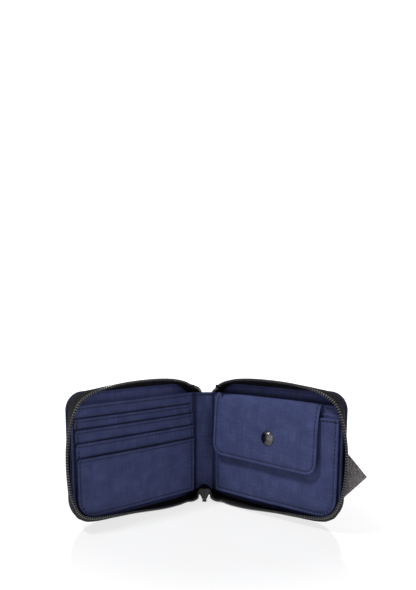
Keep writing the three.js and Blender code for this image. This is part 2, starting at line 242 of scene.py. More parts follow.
def ramp(tree, factor, stops):
    node = tree.nodes.new("ShaderNodeValToRGB")
    tree.links.new(factor, node.inputs["Fac"])
    elements = node.color_ramp.elements
    while len(elements) < len(stops):
        elements.new(0.5)
    for element, (place, color) in zip(elements, stops):
        element.position = place
        element.color = color
    return node.outputs["Color"]


def mixColor(tree, factor, first, second, blend="MIX"):
    node = tree.nodes.new("ShaderNodeMix")
    node.data_type = "RGBA"
    node.blend_type = blend
    for socket, value in ((node.inputs[0], factor), (node.inputs[6], first), (node.inputs[7], second)):
        if isinstance(value, (int, float, tuple)):
            socket.default_value = value
        else:
            tree.links.new(value, socket)
    return node.outputs[2]


def addBump(tree, shader, height, strength, distance):
    node = tree.nodes.new("ShaderNodeBump")
    node.inputs["Strength"].default_value = strength
    node.inputs["Distance"].default_value = distance * mm
    tree.links.new(height, node.inputs["Height"])
    tree.links.new(node.outputs["Normal"], shader.inputs["Normal"])


# plain weave that follows the cloth's own map, where 1 is 100 mm
def wovenCloth(name, look):
    material, tree, shader = newMaterial(name)
    uv = tree.nodes.new("ShaderNodeUVMap").outputs["UV"]
    split = tree.nodes.new("ShaderNodeSeparateXYZ")
    tree.links.new(uv, split.inputs[0])
    turns = math.pi * 100 / look["thread"]
    warp = calc(tree, "SINE", calc(tree, "MULTIPLY", split.outputs[0], turns))
    weft = calc(tree, "SINE", calc(tree, "MULTIPLY", split.outputs[1], turns))
    crossing = calc(tree, "MULTIPLY", warp, weft)
    threads = calc(tree, "POWER", calc(tree, "ABSOLUTE", crossing), 0.6)
    slubUp = noiseNode(tree, stretched(tree, uv, (150, 6, 1)), 1.0, 2.0)
    slubAcross = noiseNode(tree, stretched(tree, uv, (6, 150, 1)), 1.0, 2.0)
    slub = calc(tree, "MULTIPLY", calc(tree, "ADD", slubUp, slubAcross), 0.5)
    cloud = noiseNode(tree, uv, 9.0, 4.0)
    fuzz = noiseNode(tree, uv, 420.0, 2.0, 0.7)
    tone = calc(tree, "MULTIPLY_ADD", slub, 0.6, calc(tree, "MULTIPLY", cloud, 0.4))
    tone = calc(tree, "ADD", tone, calc(tree, "MULTIPLY_ADD", fuzz, 0.3, -0.145))
    base = ramp(tree, tone, [(0.25, fromHex(look["dark"])), (0.5, fromHex(look["base"])),
                             (0.75, fromHex(look["light"]))])
    over = calc(tree, "MULTIPLY_ADD", crossing, 0.5, 0.5)
    base = mixColor(tree, calc(tree, "MULTIPLY", over, look["shot"]), base, fromHex(look["light"]))
    gaps = calc(tree, "MULTIPLY", calc(tree, "SUBTRACT", 1.0, threads), look["gaps"])
    base = mixColor(tree, gaps, base, fromHex(look["dark"]))
    # painted shade: the cloth's colour is mixed toward a near-black navy wherever a sheet paints shade into
    # its creases, seam grooves and pocket mouths
    painted_shade = tree.nodes.new("ShaderNodeAttribute")
    painted_shade.attribute_name = "painted_shade"
    base = mixColor(tree, painted_shade.outputs["Fac"], base, fromHex(look["paintedShadeColor"]))
    tree.links.new(base, shader.inputs["Base Color"])
    rough = calc(tree, "MULTIPLY_ADD", fuzz, 0.2, look["roughness"] - 0.1)
    tree.links.new(rough, shader.inputs["Roughness"])
    shader.inputs["Specular IOR Level"].default_value = look["specular"]
    shader.inputs["Sheen Weight"].default_value = look["sheen"]
    shader.inputs["Sheen Roughness"].default_value = 0.45
    shader.inputs["Sheen Tint"].default_value = fromHex(look["light"])
    height = calc(tree, "ADD", calc(tree, "MULTIPLY", threads, 0.6), calc(tree, "MULTIPLY", slub, 0.9))
    height = calc(tree, "ADD", height, calc(tree, "MULTIPLY", fuzz, 0.25))
    addBump(tree, shader, height, look["bump"], 0.12)
    return material


innerCloth = wovenCloth("inner navy cloth", {
    "paintedShadeColor": "0b0c1c", "dark": "22264a", "base": "353c5e", "light": "4c537c",
    "thread": 0.42, "shot": 0.14, "gaps": 0.45,
    "roughness": 0.82, "specular": 0.12, "sheen": 0.06, "bump": 0.5})
liningCloth = wovenCloth("lining cloth", {
    "paintedShadeColor": "0b0c1c", "dark": "2a2e54", "base": "3f456c", "light": "525a88",
    "thread": 0.34, "shot": 0.1, "gaps": 0.4,
    "roughness": 0.8, "specular": 0.12, "sheen": 0.05, "bump": 0.4})
coverCloth = wovenCloth("cover cloth", {
    "paintedShadeColor": "0b0c1c", "dark": "1d2038", "base": "2f3450", "light": "434a6c",
    "thread": 0.62, "shot": 0.2, "gaps": 0.55,
    "roughness": 0.88, "specular": 0.1, "sheen": 0.08, "bump": 0.8})


# herringbone tape: u runs along it and v across it, in the same map
def tapeWeave(name, look):
    material, tree, shader = newMaterial(name)
    uv = tree.nodes.new("ShaderNodeUVMap").outputs["UV"]
    split = tree.nodes.new("ShaderNodeSeparateXYZ")
    tree.links.new(uv, split.inputs[0])
    along = calc(tree, "MULTIPLY", split.outputs[0], 100.0)
    across = calc(tree, "PINGPONG", calc(tree, "MULTIPLY", split.outputs[1], 100.0), look["band"])
    slant = calc(tree, "MULTIPLY", calc(tree, "ADD", along, across), 2 * math.pi / look["rib"])
    rib = calc(tree, "MULTIPLY_ADD", calc(tree, "SINE", slant), 0.5, 0.5)
    cross = calc(tree, "SINE", calc(tree, "MULTIPLY", split.outputs[1], 2 * math.pi * 100 / 0.55))
    threads = calc(tree, "MULTIPLY_ADD", cross, 0.15, calc(tree, "MULTIPLY", rib, 0.85))
    fuzz = noiseNode(tree, uv, 300.0, 3.0, 0.7)
    cloud = noiseNode(tree, uv, 12.0, 3.0)
    tone = calc(tree, "ADD", calc(tree, "MULTIPLY", threads, 0.5), calc(tree, "MULTIPLY", fuzz, 0.4))
    tone = calc(tree, "ADD", tone, calc(tree, "MULTIPLY", cloud, 0.2))
    color = ramp(tree, tone, [(0.2, fromHex(look["dark"])), (0.55, fromHex(look["base"])),
                              (0.95, fromHex(look["light"]))])
    tree.links.new(color, shader.inputs["Base Color"])
    tree.links.new(calc(tree, "MULTIPLY_ADD", fuzz, 0.2, 0.65), shader.inputs["Roughness"])
    shader.inputs["Specular IOR Level"].default_value = 0.06
    addBump(tree, shader, calc(tree, "ADD", threads, calc(tree, "MULTIPLY", fuzz, 0.4)), 0.8, 0.15)
    return material


blackTape = tapeWeave("black zip tape", {"dark": "08080a", "base": "131215", "light": "2b292e",
                                         "band": 2.2, "rib": 1.1})


def threadMaterial(name, dark, light):
    material, tree, shader = newMaterial(name)
    place = tree.nodes.new("ShaderNodeTexCoord").outputs["Object"]
    twist = noiseNode(tree, place, 2600.0, 2.0)
    color = ramp(tree, twist, [(0.3, fromHex(dark)), (0.7, fromHex(light))])
    tree.links.new(color, shader.inputs["Base Color"])
    tree.links.new(calc(tree, "MULTIPLY_ADD", twist, 0.2, 0.5), shader.inputs["Roughness"])
    shader.inputs["Specular IOR Level"].default_value = 0.3
    addBump(tree, shader, twist, 0.5, 0.06)
    return material


navyThread = threadMaterial("navy thread", "03040a", "0b0c1a")
blackThread = threadMaterial("black thread", "060607", "131316")


# plated metal with fine scuffs that wear the plating lighter
def platedMetal(name, look):
    material, tree, shader = newMaterial(name)
    place = tree.nodes.new("ShaderNodeTexCoord").outputs["Object"]
    scuff = noiseNode(tree, place, 900.0, 5.0, 0.7)
    cloud = noiseNode(tree, place, 180.0, 3.0)
    tone = calc(tree, "MULTIPLY_ADD", scuff, 0.6, calc(tree, "MULTIPLY", cloud, 0.4))
    color = ramp(tree, tone, [(0.35, fromHex(look["dark"])), (0.55, fromHex(look["base"])),
                              (0.72, fromHex(look["worn"]))])
    tree.links.new(color, shader.inputs["Base Color"])
    rough = calc(tree, "MULTIPLY_ADD", scuff, 0.25, look["roughness"] - 0.12)
    tree.links.new(rough, shader.inputs["Roughness"])
    shader.inputs["Metallic"].default_value = look["metallic"]
    addBump(tree, shader, scuff, 0.12, 0.04)
    return material


snapMetal = platedMetal("snap gunmetal", {"dark": "3c3a3d", "base": "5c5a5d", "worn": "858283",
                                          "roughness": 0.2, "metallic": 1.0})
zipMetal = platedMetal("slider gunmetal", {"dark": "1d1c1e", "base": "333234", "worn": "615f60",
                                           "roughness": 0.4, "metallic": 0.85})


def moldedTeeth():
    material, tree, shader = newMaterial("zip teeth nylon")
    place = tree.nodes.new("ShaderNodeTexCoord").outputs["Object"]
    grain = noiseNode(tree, place, 1500.0, 3.0)
    wear = noiseNode(tree, place, 120.0, 3.0)
    color = ramp(tree, wear, [(0.3, fromHex("161518")), (0.55, fromHex("232225")),
                              (0.75, fromHex("3a383b"))])
    tree.links.new(color, shader.inputs["Base Color"])
    tree.links.new(calc(tree, "MULTIPLY_ADD", grain, 0.15, 0.16), shader.inputs["Roughness"])
    shader.inputs["Specular IOR Level"].default_value = 1.0
    addBump(tree, shader, grain, 0.15, 0.04)
    return material


def grainedLeather():
    material, tree, shader = newMaterial("grained leather")
    place = tree.nodes.new("ShaderNodeTexCoord").outputs["Object"]
    wobble = noiseNode(tree, place, 420.0, 2.0)
    node = tree.nodes.new("ShaderNodeTexVoronoi")
    node.feature = "DISTANCE_TO_EDGE"
    node.inputs["Scale"].default_value = 1150.0
    shifted = tree.nodes.new("ShaderNodeVectorMath")
    shifted.operation = "MULTIPLY_ADD"
    tree.links.new(wobble, shifted.inputs[0])
    shifted.inputs[1].default_value = (0.0004, 0.0004, 0.0004)
    tree.links.new(place, shifted.inputs[2])
    tree.links.new(shifted.outputs[0], node.inputs["Vector"])
    pebble = calc(tree, "MINIMUM", calc(tree, "MULTIPLY", node.outputs["Distance"], 5.0), 1.0)
    pores = noiseNode(tree, place, 2200.0, 2.0)
    color = ramp(tree, pebble, [(0.02, fromHex("2a2629")), (0.35, fromHex("7b7579")),
                                (1.0, fromHex("bcb5b9"))])
    tree.links.new(color, shader.inputs["Base Color"])
    tree.links.new(calc(tree, "MULTIPLY_ADD", pores, 0.2, 0.4), shader.inputs["Roughness"])
    height = calc(tree, "ADD", pebble, calc(tree, "MULTIPLY", pores, 0.2))
    addBump(tree, shader, height, 1.0, 0.25)
    return material


def paintedEdge():
    material, tree, shader = newMaterial("painted leather edge")
    place = tree.nodes.new("ShaderNodeTexCoord").outputs["Object"]
    ripple = noiseNode(tree, place, 500.0, 3.0)
    color = ramp(tree, ripple, [(0.3, fromHex("2c2a2d")), (0.7, fromHex("4a484c"))])
    tree.links.new(color, shader.inputs["Base Color"])
    tree.links.new(calc(tree, "MULTIPLY_ADD", ripple, 0.2, 0.3), shader.inputs["Roughness"])
    addBump(tree, shader, ripple, 0.4, 0.1)
    return material


def rawBoard():
    material, tree, shader = newMaterial("raw board")
    place = tree.nodes.new("ShaderNodeTexCoord").outputs["Object"]
    fibre = noiseNode(tree, stretched(tree, place, (1.0, 1.0, 6.0)), 700.0, 5.0, 0.7)
    color = ramp(tree, fibre, [(0.3, fromHex("6d675c")), (0.7, fromHex("a39b8c"))])
    tree.links.new(color, shader.inputs["Base Color"])
    tree.links.new(calc(tree, "MULTIPLY_ADD", fibre, 0.1, 0.88), shader.inputs["Roughness"])
    addBump(tree, shader, fibre, 0.4, 0.1)
    return material


teethNylon = moldedTeeth()
leather = grainedLeather()
edgePaint = paintedEdge()
boardPaper = rawBoard()
print("materials ready")


def finishPiece(name, bm, materials, smooth=True):
    mesh = bpy.data.meshes.new(name)
    bm.to_mesh(mesh)
    bm.free()
    for material in materials:
        mesh.materials.append(material)
    if smooth:
        for polygon in mesh.polygons:
            polygon.use_smooth = True
    piece = bpy.data.objects.new(name, mesh)
    scene.collection.objects.link(piece)
    return piece


def addModifier(piece, kind, **values):
    modifier = piece.modifiers.new(kind.lower(), kind)
    for key, value in values.items():
        setattr(modifier, key, value)


# a sheet of cloth: surface(s, r) gives its visible face, with r from 0 at the foot to 1 at the top
def clothSheet(name, across, up, surface, flatAt, facing, thick, material, declared=True,
               shade=None):
    bm = bmesh.new()
    uvLayer = bm.loops.layers.uv.new("cloth")
    paintedShadeLayer = bm.verts.layers.float.new("painted_shade")
    columns, rows = len(across) - 1, len(up) - 1
    bmesh.ops.create_grid(bm, x_segments=columns, y_segments=rows, size=1)
    for face in bm.faces:
        for loop in face.loops:
            s = across[round((loop.vert.co.x + 1) / 2 * columns)]
            r = up[round((loop.vert.co.y + 1) / 2 * rows)]
            low, high = flatAt(s)
            loop[uvLayer].uv = (s / 100, (low + r * (high - low)) / 100)
    for s0, s1 in zip(across, across[1:]):
        low, high = flatAt((s0 + s1) / 2)
    for vert in bm.verts:
        s = across[round((vert.co.x + 1) / 2 * columns)]
        r = up[round((vert.co.y + 1) / 2 * rows)]
        low, high = flatAt(s)
        # painted shade: each vertex keeps how much shade the shade callback paints into the cloth's colour
        # there
        vert[paintedShadeLayer] = min(shade(s, low + r * (high - low)), 1) if shade else 0
        vert.co = toWorld(surface(s, r))
    bm.normal_update()
    total = sum((face.normal * face.calc_area() for face in bm.faces), Vector())
    if total.dot(facing) < 0:
        bmesh.ops.reverse_faces(bm, faces=bm.faces)
    piece = finishPiece(name, bm, [material])
    addModifier(piece, "SOLIDIFY", thickness=thick * mm, offset=-1.0, use_even_offset=False)
    addModifier(piece, "SUBSURF", levels=1, render_levels=1)
    if not declared:
        return piece
    heights = [flatAt(s)[1] - flatAt(s)[0] for s in across]
    return piece


stitch = {"pitch": 3.0, "length": 1.9, "width": 1.0, "height": 0.4, "lift": 0.3}


# a row of stitches along a line of (s, z), each one a small rounded bar lying on surface(s, z)
def sewLine(name, lines, surface, facing):
    bm = bmesh.new()
    for line in lines:
        line = [Vector(p) for p in line]
        length = sum((b - a).length for a, b in zip(line, line[1:]))
        count = max(2, round(length / stitch["pitch"]))
        points = resample(line, count * 8 + 1)
        for i in range(count):
            a, b = points[i * 8 + 1], points[i * 8 + 7]
            middle = (a + b) / 2
            start, end = surface(a.x, a.y), surface(b.x, b.y)
            along = (end - start).normalized()
            sideways = Vector((-(b - a).y, (b - a).x)).normalized() * 0.4
            one = surface(middle.x + sideways.x, middle.y + sideways.y)
            two = surface(middle.x - sideways.x, middle.y - sideways.y)
            normal = along.cross(one - two).normalized()
            if normal.dot(facing) < 0:
                normal = -normal
            across = normal.cross(along)
            turn = Matrix((along, across, normal)).transposed().to_4x4()
            size = Matrix.Diagonal((stitch["length"] / 2, stitch["width"] / 2, stitch["height"] / 2, 1))
            center = toWorld((start + end) / 2 + normal * stitch["lift"])
            bmesh.ops.create_uvsphere(bm, u_segments=6, v_segments=4, radius=1,
                                      matrix=Matrix.Translation(center) @ Matrix.Scale(mm, 4) @ turn @ size)
    bmesh.ops.recalc_face_normals(bm, faces=bm.faces)
    return finishPiece(name, bm, [navyThread])


def rideHalf(piece, side):
    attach(piece, side + "_half")


# cloth that crosses the fold: its placement is baked into its mesh
def blendFold(piece, side, y, before, after):
    start = toWorld(layerPoint(side, -before, y, 48))
    end = toWorld(layerPoint(side, after + max(y, 0) * openAngle, y, 48))
    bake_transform(piece)


# inner panel: the front wall of the bill compartment, one cloth over left half and spine
panel = {"edge": 114.2, "low": 7.5, "top": 87.5, "lowRadius": 17, "topRadius": 9, "thick": 0.8,
         "archHalf": 7.4, "archRise": 5.3, "seam": 2.4, "rise": 0.35, "dip": 0.4, "puff": 0.12,
         "creaseDeep": 2.1, "farCreaseDeep": 1.2, "bulge": 1.7, "underlap": 3.4}
pockets = {"start": 2.7, "end": 111.6, "low": 8.0, "edges": [78.5, 71.0, 61.7, 51.3], "thick": 1.0,
           "layer": 0.8, "lowRadius": 15, "bow": 1.5, "seam": 2.4, "rise": 0.8, "dip": 0.5, "puff": 0.1}


def archAt(fromMiddle):
    if abs(fromMiddle) >= panel["archHalf"]:
        return 0
    return panel["archRise"] * (0.5 + 0.5 * math.cos(math.pi * fromMiddle / panel["archHalf"]))


def panelOutline(s):
    low, high = outlineAt(s, (-99, panel["low"], panel["edge"], panel["top"]),
                          panel["lowRadius"], panel["topRadius"])
    return low + archAt(s + spineHalf), high


def panelEdgeDistance(s, z):
    return edgeDistance(s, z, (-99, panel["low"], panel["edge"], panel["top"]),
                        panel["lowRadius"], panel["topRadius"])


def panelForward(s, z):
    low = panelOutline(s)[0]
    distance = min(panelEdgeDistance(s, z), z - low)
    forward = hemRelief(max(distance, 0), panel) + unevenness(s, z, 1.0, 0.18)
    fromMiddle = s + spineHalf
    forward -= panel["creaseDeep"] * math.exp(-((s + 0.2) / 1.5) ** 2)
    forward -= panel["farCreaseDeep"] * math.exp(-((s + 2 * spineHalf - 0.3) / 1.5) ** 2)
    pleat = math.exp(-(fromMiddle / 3.4) ** 2)
    forward += pleat * (0.55 + panel["bulge"] * math.exp(-(z - low) / 11))
    if abs(fromMiddle) < spineHalf:
        forward += 0.22 * math.sin(z * 0.21 + fromMiddle * 0.7) * pleat
    return forward


def leftPanelPoint(s, z):
    s = max(s, -2 * spineHalf)
    facing = inward("left") if s > 0 else toViewer
    return layerPoint("left", s, 0, z) + facing * panelForward(s, z)


def makePanels():
    across = [-2 * spineHalf, -16.4, -15.6, -14.6, -13.4, -12.2, -11, -10, -9.2, -8.5, -7.8, -7, -6, -4.8,
              -3.6, -2.6, -1.7, -1.0, -0.5, 0.01, 0.5, 1.1, 1.8, 2.7]
    across += steps(4.0, panel["edge"], 4.5, closeStart=False)
    rows = aroundMouth(steps(panel["low"], panel["top"], 4.2), pockets["edges"][0])
    up = [(z - panel["low"]) / (panel["top"] - panel["low"]) for z in rows]

    def leftShade(s, z):
        # painted shade in both fold creases of the spine, in the top seam's groove and above the first
        # pocket's mouth
        dark = seamShade(panel["top"] - z, panel["seam"]) + 0.6 * math.exp(-((s + 0.3) / 1.2) ** 2)
        dark += 0.45 * math.exp(-((s + 2 * spineHalf - 0.4) / 1.2) ** 2)
        return dark + (mouthShade(z, pockets["edges"][0]) if pockets["start"] < s < pockets["end"] else 0)

    def leftSurface(s, r):
        low, high = panelOutline(s)
        return leftPanelPoint(s, low + r * (high - low))
    left = clothSheet("inner_panel_left", across, up, leftSurface, panelOutline, toViewer,
                      panel["thick"], innerCloth, shade=leftShade)
    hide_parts("panel_left", "spine_panel")
    blendFold(left, "left", 0, 1.5, 2.5)

    # the right panel starts behind the left one's edge, at the fold
    def rightPoint(s, z):
        behind = 1.25 * (1 - min(max((s + 1.0) / 3.2, 0), 1)) + 0.02
        facing = inward("right") if s > 0 else toViewer
        forward = hemRelief(panelEdgeDistance(s, z), panel)
        forward = forward * 0.6 + unevenness(s, z, 2.0, 0.12)
        return layerPoint("right", s, 0, z) + facing * (forward - behind)

    def rightOutline(s):
        return outlineAt(s, (-99, panel["low"], panel["edge"], panel["top"]),
                         panel["lowRadius"], panel["topRadius"])

    def rightSurface(s, r):
        low, high = rightOutline(s)
        return rightPoint(s, low + r * (high - low))
    rightAcross = [-panel["underlap"], -2.4, -1.5, -0.8, -0.3, 0.2, 0.8, 1.6, 2.6]
    rightAcross += steps(4.0, panel["edge"], 4.5, closeStart=False)
    right = clothSheet("inner_panel_right", rightAcross, up, rightSurface, rightOutline, toViewer,
                       panel["thick"], innerCloth)
    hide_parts("panel_right")
    blendFold(right, "right", 0, 1.5, 2.5)

    seam, edge = panel["seam"], panel["edge"] - panel["seam"]
    topSeam = panel["top"] - seam
    around = roundCorners([(edge, topSeam - 3), (edge, panel["low"] + seam), (4, panel["low"] + seam)],
                          panel["lowRadius"] - seam)
    top = [(4, topSeam), (edge - 1, topSeam)]
    sewn = sewLine("stitches_panel_left", [top, around[:6]], leftPanelPoint, toViewer)
    rideHalf(sewn, "left")
    spineTop = [(-2 * spineHalf + 1.2, topSeam), (-1.6, topSeam)]
    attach(sewLine("stitches_spine", [spineTop], leftPanelPoint, toViewer), "spine")
    sewn = sewLine("stitches_panel_right", [[(100.5, topSeam), (edge - 1, topSeam)]], rightPoint, toViewer)
    rideHalf(sewn, "right")


makePanels()
print("inner panel ready")


# card pockets on the left half
def makeCardPocket(number):
    top = pockets["edges"][number]
    box = (pockets["start"], pockets["low"], pockets["end"], top)
    base = 0.55 + number * pockets["layer"]

    def outline(s):
        return outlineAt(s, box, pockets["lowRadius"], 0.8)

    def forwardAt(s, z):
        share = (s - pockets["start"]) / (pockets["end"] - pockets["start"])
        near = math.exp(-max(top - z, 0) / 9)
        mouth = pockets["bow"] * (0.55 + 0.45 * number / 3) * math.sin(math.pi * share) ** 0.6 * near
        lift = hemRelief(max(top - z, 0), pockets) + mouth
        sides = min(s - pockets["start"], pockets["end"] - s)
        lift += 0.16 * math.exp(-(sides / 1.2) ** 2) - 0.16 * math.exp(-((sides - 2.2) / 0.6) ** 2)
        if number == 3:
            below = edgeDistance(s, z, (pockets["start"], pockets["low"], pockets["end"], 999),
                                 pockets["lowRadius"], 0)
            lift += hemRelief(below, {"seam": 2.4, "rise": 0.25, "dip": 0.4, "puff": 0.45})
        return base + lift + unevenness(s, z, 3.0 + number, 0.22)

    def point(s, z):
        return halfPoint("left", s, -forwardAt(s, z), z)

    def surface(s, r):
        low, high = outline(s)
        return point(s, low + r * (high - low))

    def shade(s, z):
        # painted shade in the grooves of the top and side seams, and above the mouth of the pocket in front
        sides = min(s - pockets["start"], pockets["end"] - s)
        dark = seamShade(top - z, pockets["seam"]) + seamShade(sides, 2.2)
        return dark + (mouthShade(z, pockets["edges"][number + 1]) if number < 3 else 0)
    across = steps(pockets["start"], pockets["end"], 4.6)
    height = top - pockets["low"]
    rows = steps(pockets["low"], top, 4.6)
    if number < 3:
        rows = aroundMouth(rows, pockets["edges"][number + 1])
    up = [(z - pockets["low"]) / height for z in rows]
    sheet = clothSheet("card_slot_%d" % (number + 1), across, up, surface, outline, toViewer,
                       pockets["thick"], innerCloth, shade=shade)
    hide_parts("card_pocket_%d" % (number + 1))
    rideHalf(sheet, "left")
    mouth = top - pockets["seam"]
    lines = [[(pockets["start"] + 1.5, mouth), (pockets["end"] - 1.5, mouth)]]
    floorOf = pockets["edges"][number + 1] if number < 3 else None
    inner, outer = pockets["start"] + 2.2, pockets["end"] - 2.2
    if floorOf:
        lines += [[(inner, top - 4.5), (inner, floorOf)], [(outer, top - 4.5), (outer, floorOf)]]
    else:
        foot = pockets["low"] + 2.3
        lines.append(roundCorners([(outer, top - 4.5), (outer, foot), (60, foot)], 12.5))
        lines.append(roundCorners([(60, foot), (inner, foot), (inner, top - 4.5)], 2))
    sewn = sewLine("stitches_slot_%d" % (number + 1), lines, point, toViewer)
    rideHalf(sewn, "left")


for number in range(4):
    makeCardPocket(number)
print("card pockets ready")

# coin pocket on the right half
coin = {"start": 2.7, "end": 112.6, "low": 8.0, "top": 78.7, "lowRadius": 15, "front": 2.6, "thick": 0.9,
        "backTop": 81.7, "backEnd": 112.0, "bow": 1.3, "seam": 2.6, "mouthSeam": 2.4}


def makeCoinPocket():
    box = (coin["start"], coin["low"], coin["end"], coin["top"])

    def outline(s):
        return outlineAt(s, box, coin["lowRadius"], 0.8)

    # the mouth isn't sewn down, so only the other three sides count
    def sewnDistance(s, z):
        return edgeDistance(s, z, (coin["start"], coin["low"], coin["end"], 999), coin["lowRadius"], 0)

    def forwardAt(s, z):
        edge = sewnDistance(s, z)
        share = (s - coin["start"]) / (coin["end"] - coin["start"])
        crown = coin["bow"] * math.sin(math.pi * share) ** 0.5 * (1 - math.exp(-(z - coin["low"]) / 14))
        lift = hemRelief(edge, {"seam": 2.6, "rise": 0.3, "dip": 0.45, "puff": 0.3})
        lift += hemRelief(max(coin["top"] - z, 0), {"seam": 2.4, "rise": 0.45, "dip": 0.4, "puff": 0})
        away = math.hypot(s - snap["u"], z - snap["z"])
        crown *= 1 - math.exp(-(away / 13) ** 2)
        return coin["front"] - 0.35 + min(crown, 1.3) + lift + unevenness(s, z, 9.0, 0.25)

    def point(s, z):
        return halfPoint("right", s, -forwardAt(s, z), z)

    def surface(s, r):
        low, high = outline(s)
        return point(s, low + r * (high - low))
    height = coin["top"] - coin["low"]
    across = steps(coin["start"], coin["end"], 4.2)

    def shade(s, z):
        # painted shade in the grooves of the side, foot and mouth seams
        return seamShade(sewnDistance(s, z), coin["seam"]) + seamShade(coin["top"] - z, coin["mouthSeam"])
    up = [d / height for d in steps(0, height, 4.2)]
    front = clothSheet("coin_pocket_face", across, up, surface, outline, toViewer, coin["thick"],
                       innerCloth, shade=shade)
    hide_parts("coin_pocket_front")
    rideHalf(front, "right")
    seam, mouth = coin["seam"], coin["top"] - coin["mouthSeam"]
    left, right, foot = coin["start"] + seam, coin["end"] - seam, coin["low"] + seam
    lines = [[(coin["start"] + 1.5, mouth), (coin["end"] - 1.5, mouth)],
             roundCorners([(right, coin["top"] - 4.6), (right, foot), (60, foot)], 12.4),
             roundCorners([(60, foot), (left, foot), (left, coin["top"] - 4.6)], 2)]
    rideHalf(sewLine("stitches_coin_pocket", lines, point, toViewer), "right")

    def backOutline(s):
        return outlineAt(s, (coin["start"], coin["low"], coin["backEnd"], coin["backTop"]),
                         coin["lowRadius"], 0.8)

    def backSurface(s, r):
        low, high = backOutline(s)
        z = low + r * (high - low)
        lift = hemRelief(high - z, {"seam": 2.4, "rise": 0.15, "dip": 0.1, "puff": 0})
        return halfPoint("right", s, -0.85 - lift, z)
    backHeight = coin["backTop"] - coin["low"]
    back = clothSheet("coin_pocket_rear", steps(coin["start"], coin["backEnd"], 7),
                      [d / backHeight for d in steps(0, backHeight, 7)], backSurface, backOutline,
                      toViewer, 0.45, innerCloth)
    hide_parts("coin_pocket_back")
    rideHalf(back, "right")

    # the gusset is a strip folded like a W round three sides, between the rear and the face
    left, right, foot, mouth = coin["start"] + 0.7, coin["end"] - 1.1, coin["low"] + 0.7, coin["top"] - 0.6
    around = roundCorners([(left, mouth), (left, foot), (right, foot), (right, mouth)], 14)
    last = 89
    around = resample([Vector((*p, 0)) for p in around], last + 1)
    folds = [(0.0, 1.0), (0.9, 1.25), (1.7, 1.5), (0.9, 1.75), (0.1, 2.0)]
    bm = bmesh.new()
    uvLayer = bm.loops.layers.uv.new("cloth")
    bmesh.ops.create_grid(bm, x_segments=last, y_segments=4, size=1)
    for face in bm.faces:
        for loop in face.loops:
            loop[uvLayer].uv = ((loop.vert.co.x + 1) * 1.2, (loop.vert.co.y + 1) * 0.02)
    for vert in bm.verts:
        i = round((vert.co.x + 1) / 2 * last)
        inset, depth = folds[round((vert.co.y + 1) / 2 * 4)]
        tangent = (around[min(i + 1, last)] - around[max(i - 1, 0)]).normalized()
        place = around[i] + Vector((-tangent.y, tangent.x, 0)) * inset
        vert.co = toWorld(halfPoint("right", place.x, -depth, place.y))
    gusset = finishPiece("coin_gusset", bm, [innerCloth])
    addModifier(gusset, "SOLIDIFY", thickness=0.2 * mm, offset=0.0)
    addModifier(gusset, "SUBSURF", levels=1, render_levels=1)
    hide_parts("coin_pocket_gusset")
    rideHalf(gusset, "right")


snap = {"u": 57.5, "z": 59.0, "front": 7.5, "rim": 5.4, "dome": 2.3}
makeCoinPocket()
print("coin pocket ready")

# flap over the coin pocket
flap = {"start": 4.5, "end": 98.6, "radius": 9.0, "thick": 0.75,
        "profile": [(1.0, 85.6), (0.75, 87.6), (-0.6, 88.4), (-2.4, 87.3), (-4.5, 82.5), (-6.0, 75.0),
                    (-7.0, 62.0), (-7.5, 50.0), (-7.45, 37.4)],
        "seam": 2.5, "rise": 0.35, "dip": 0.45, "puff": 0.35, "strip": (81.5, 86.6)}
flapLine = smoothPath([(y, z, 0) for y, z in flap["profile"]], 200)
flapLength = sum((b - a).length for a, b in zip(flapLine, flapLine[1:]))


# the flap hangs along its side view, d from its top edge behind the panel
def flapPoint(s, d, lift):
    place = min(max(d / flapLength, 0), 1) * (len(flapLine) - 1)
    i = min(int(place), len(flapLine) - 2)
    here = flapLine[i].lerp(flapLine[i + 1], place - i)
    along = (flapLine[i + 1] - flapLine[i]).normalized()
    outward = Vector((along.y, -along.x, 0))
    here = here + outward * lift
    here.y -= max(d - flapLength, 0)
    return halfPoint("right", s, here.x, here.y)


# the flap is free on three sides: z is measured up from its lower edge
def flapEdgeDistance(s, z):
    box = (flap["start"], 0, flap["end"], flapLength * 2)
    return edgeDistance(s, z, box, flap["radius"], 0, flap["radius"])


def flapForward(s, d):
    lift = hemRelief(flapEdgeDistance(s, flapLength - d), flap)
    lowerEdge = flap["profile"][-1][1]
    away = math.hypot(s - snap["u"], d - (flapLength - (snap["z"] - lowerEdge)))
    lift -= 0.75 * math.exp(-(away / 7.5) ** 2)
    lift += 0.35 * math.exp(-((away - 14) / 7) ** 2)
    share = (s - flap["start"]) / (flap["end"] - flap["start"])
    lift += 0.5 * math.sin(math.pi * share) * min(d / 20, 1) - 0.25
    return lift + unevenness(s, d, 12.0, 0.4) * min(d / 12, 1)


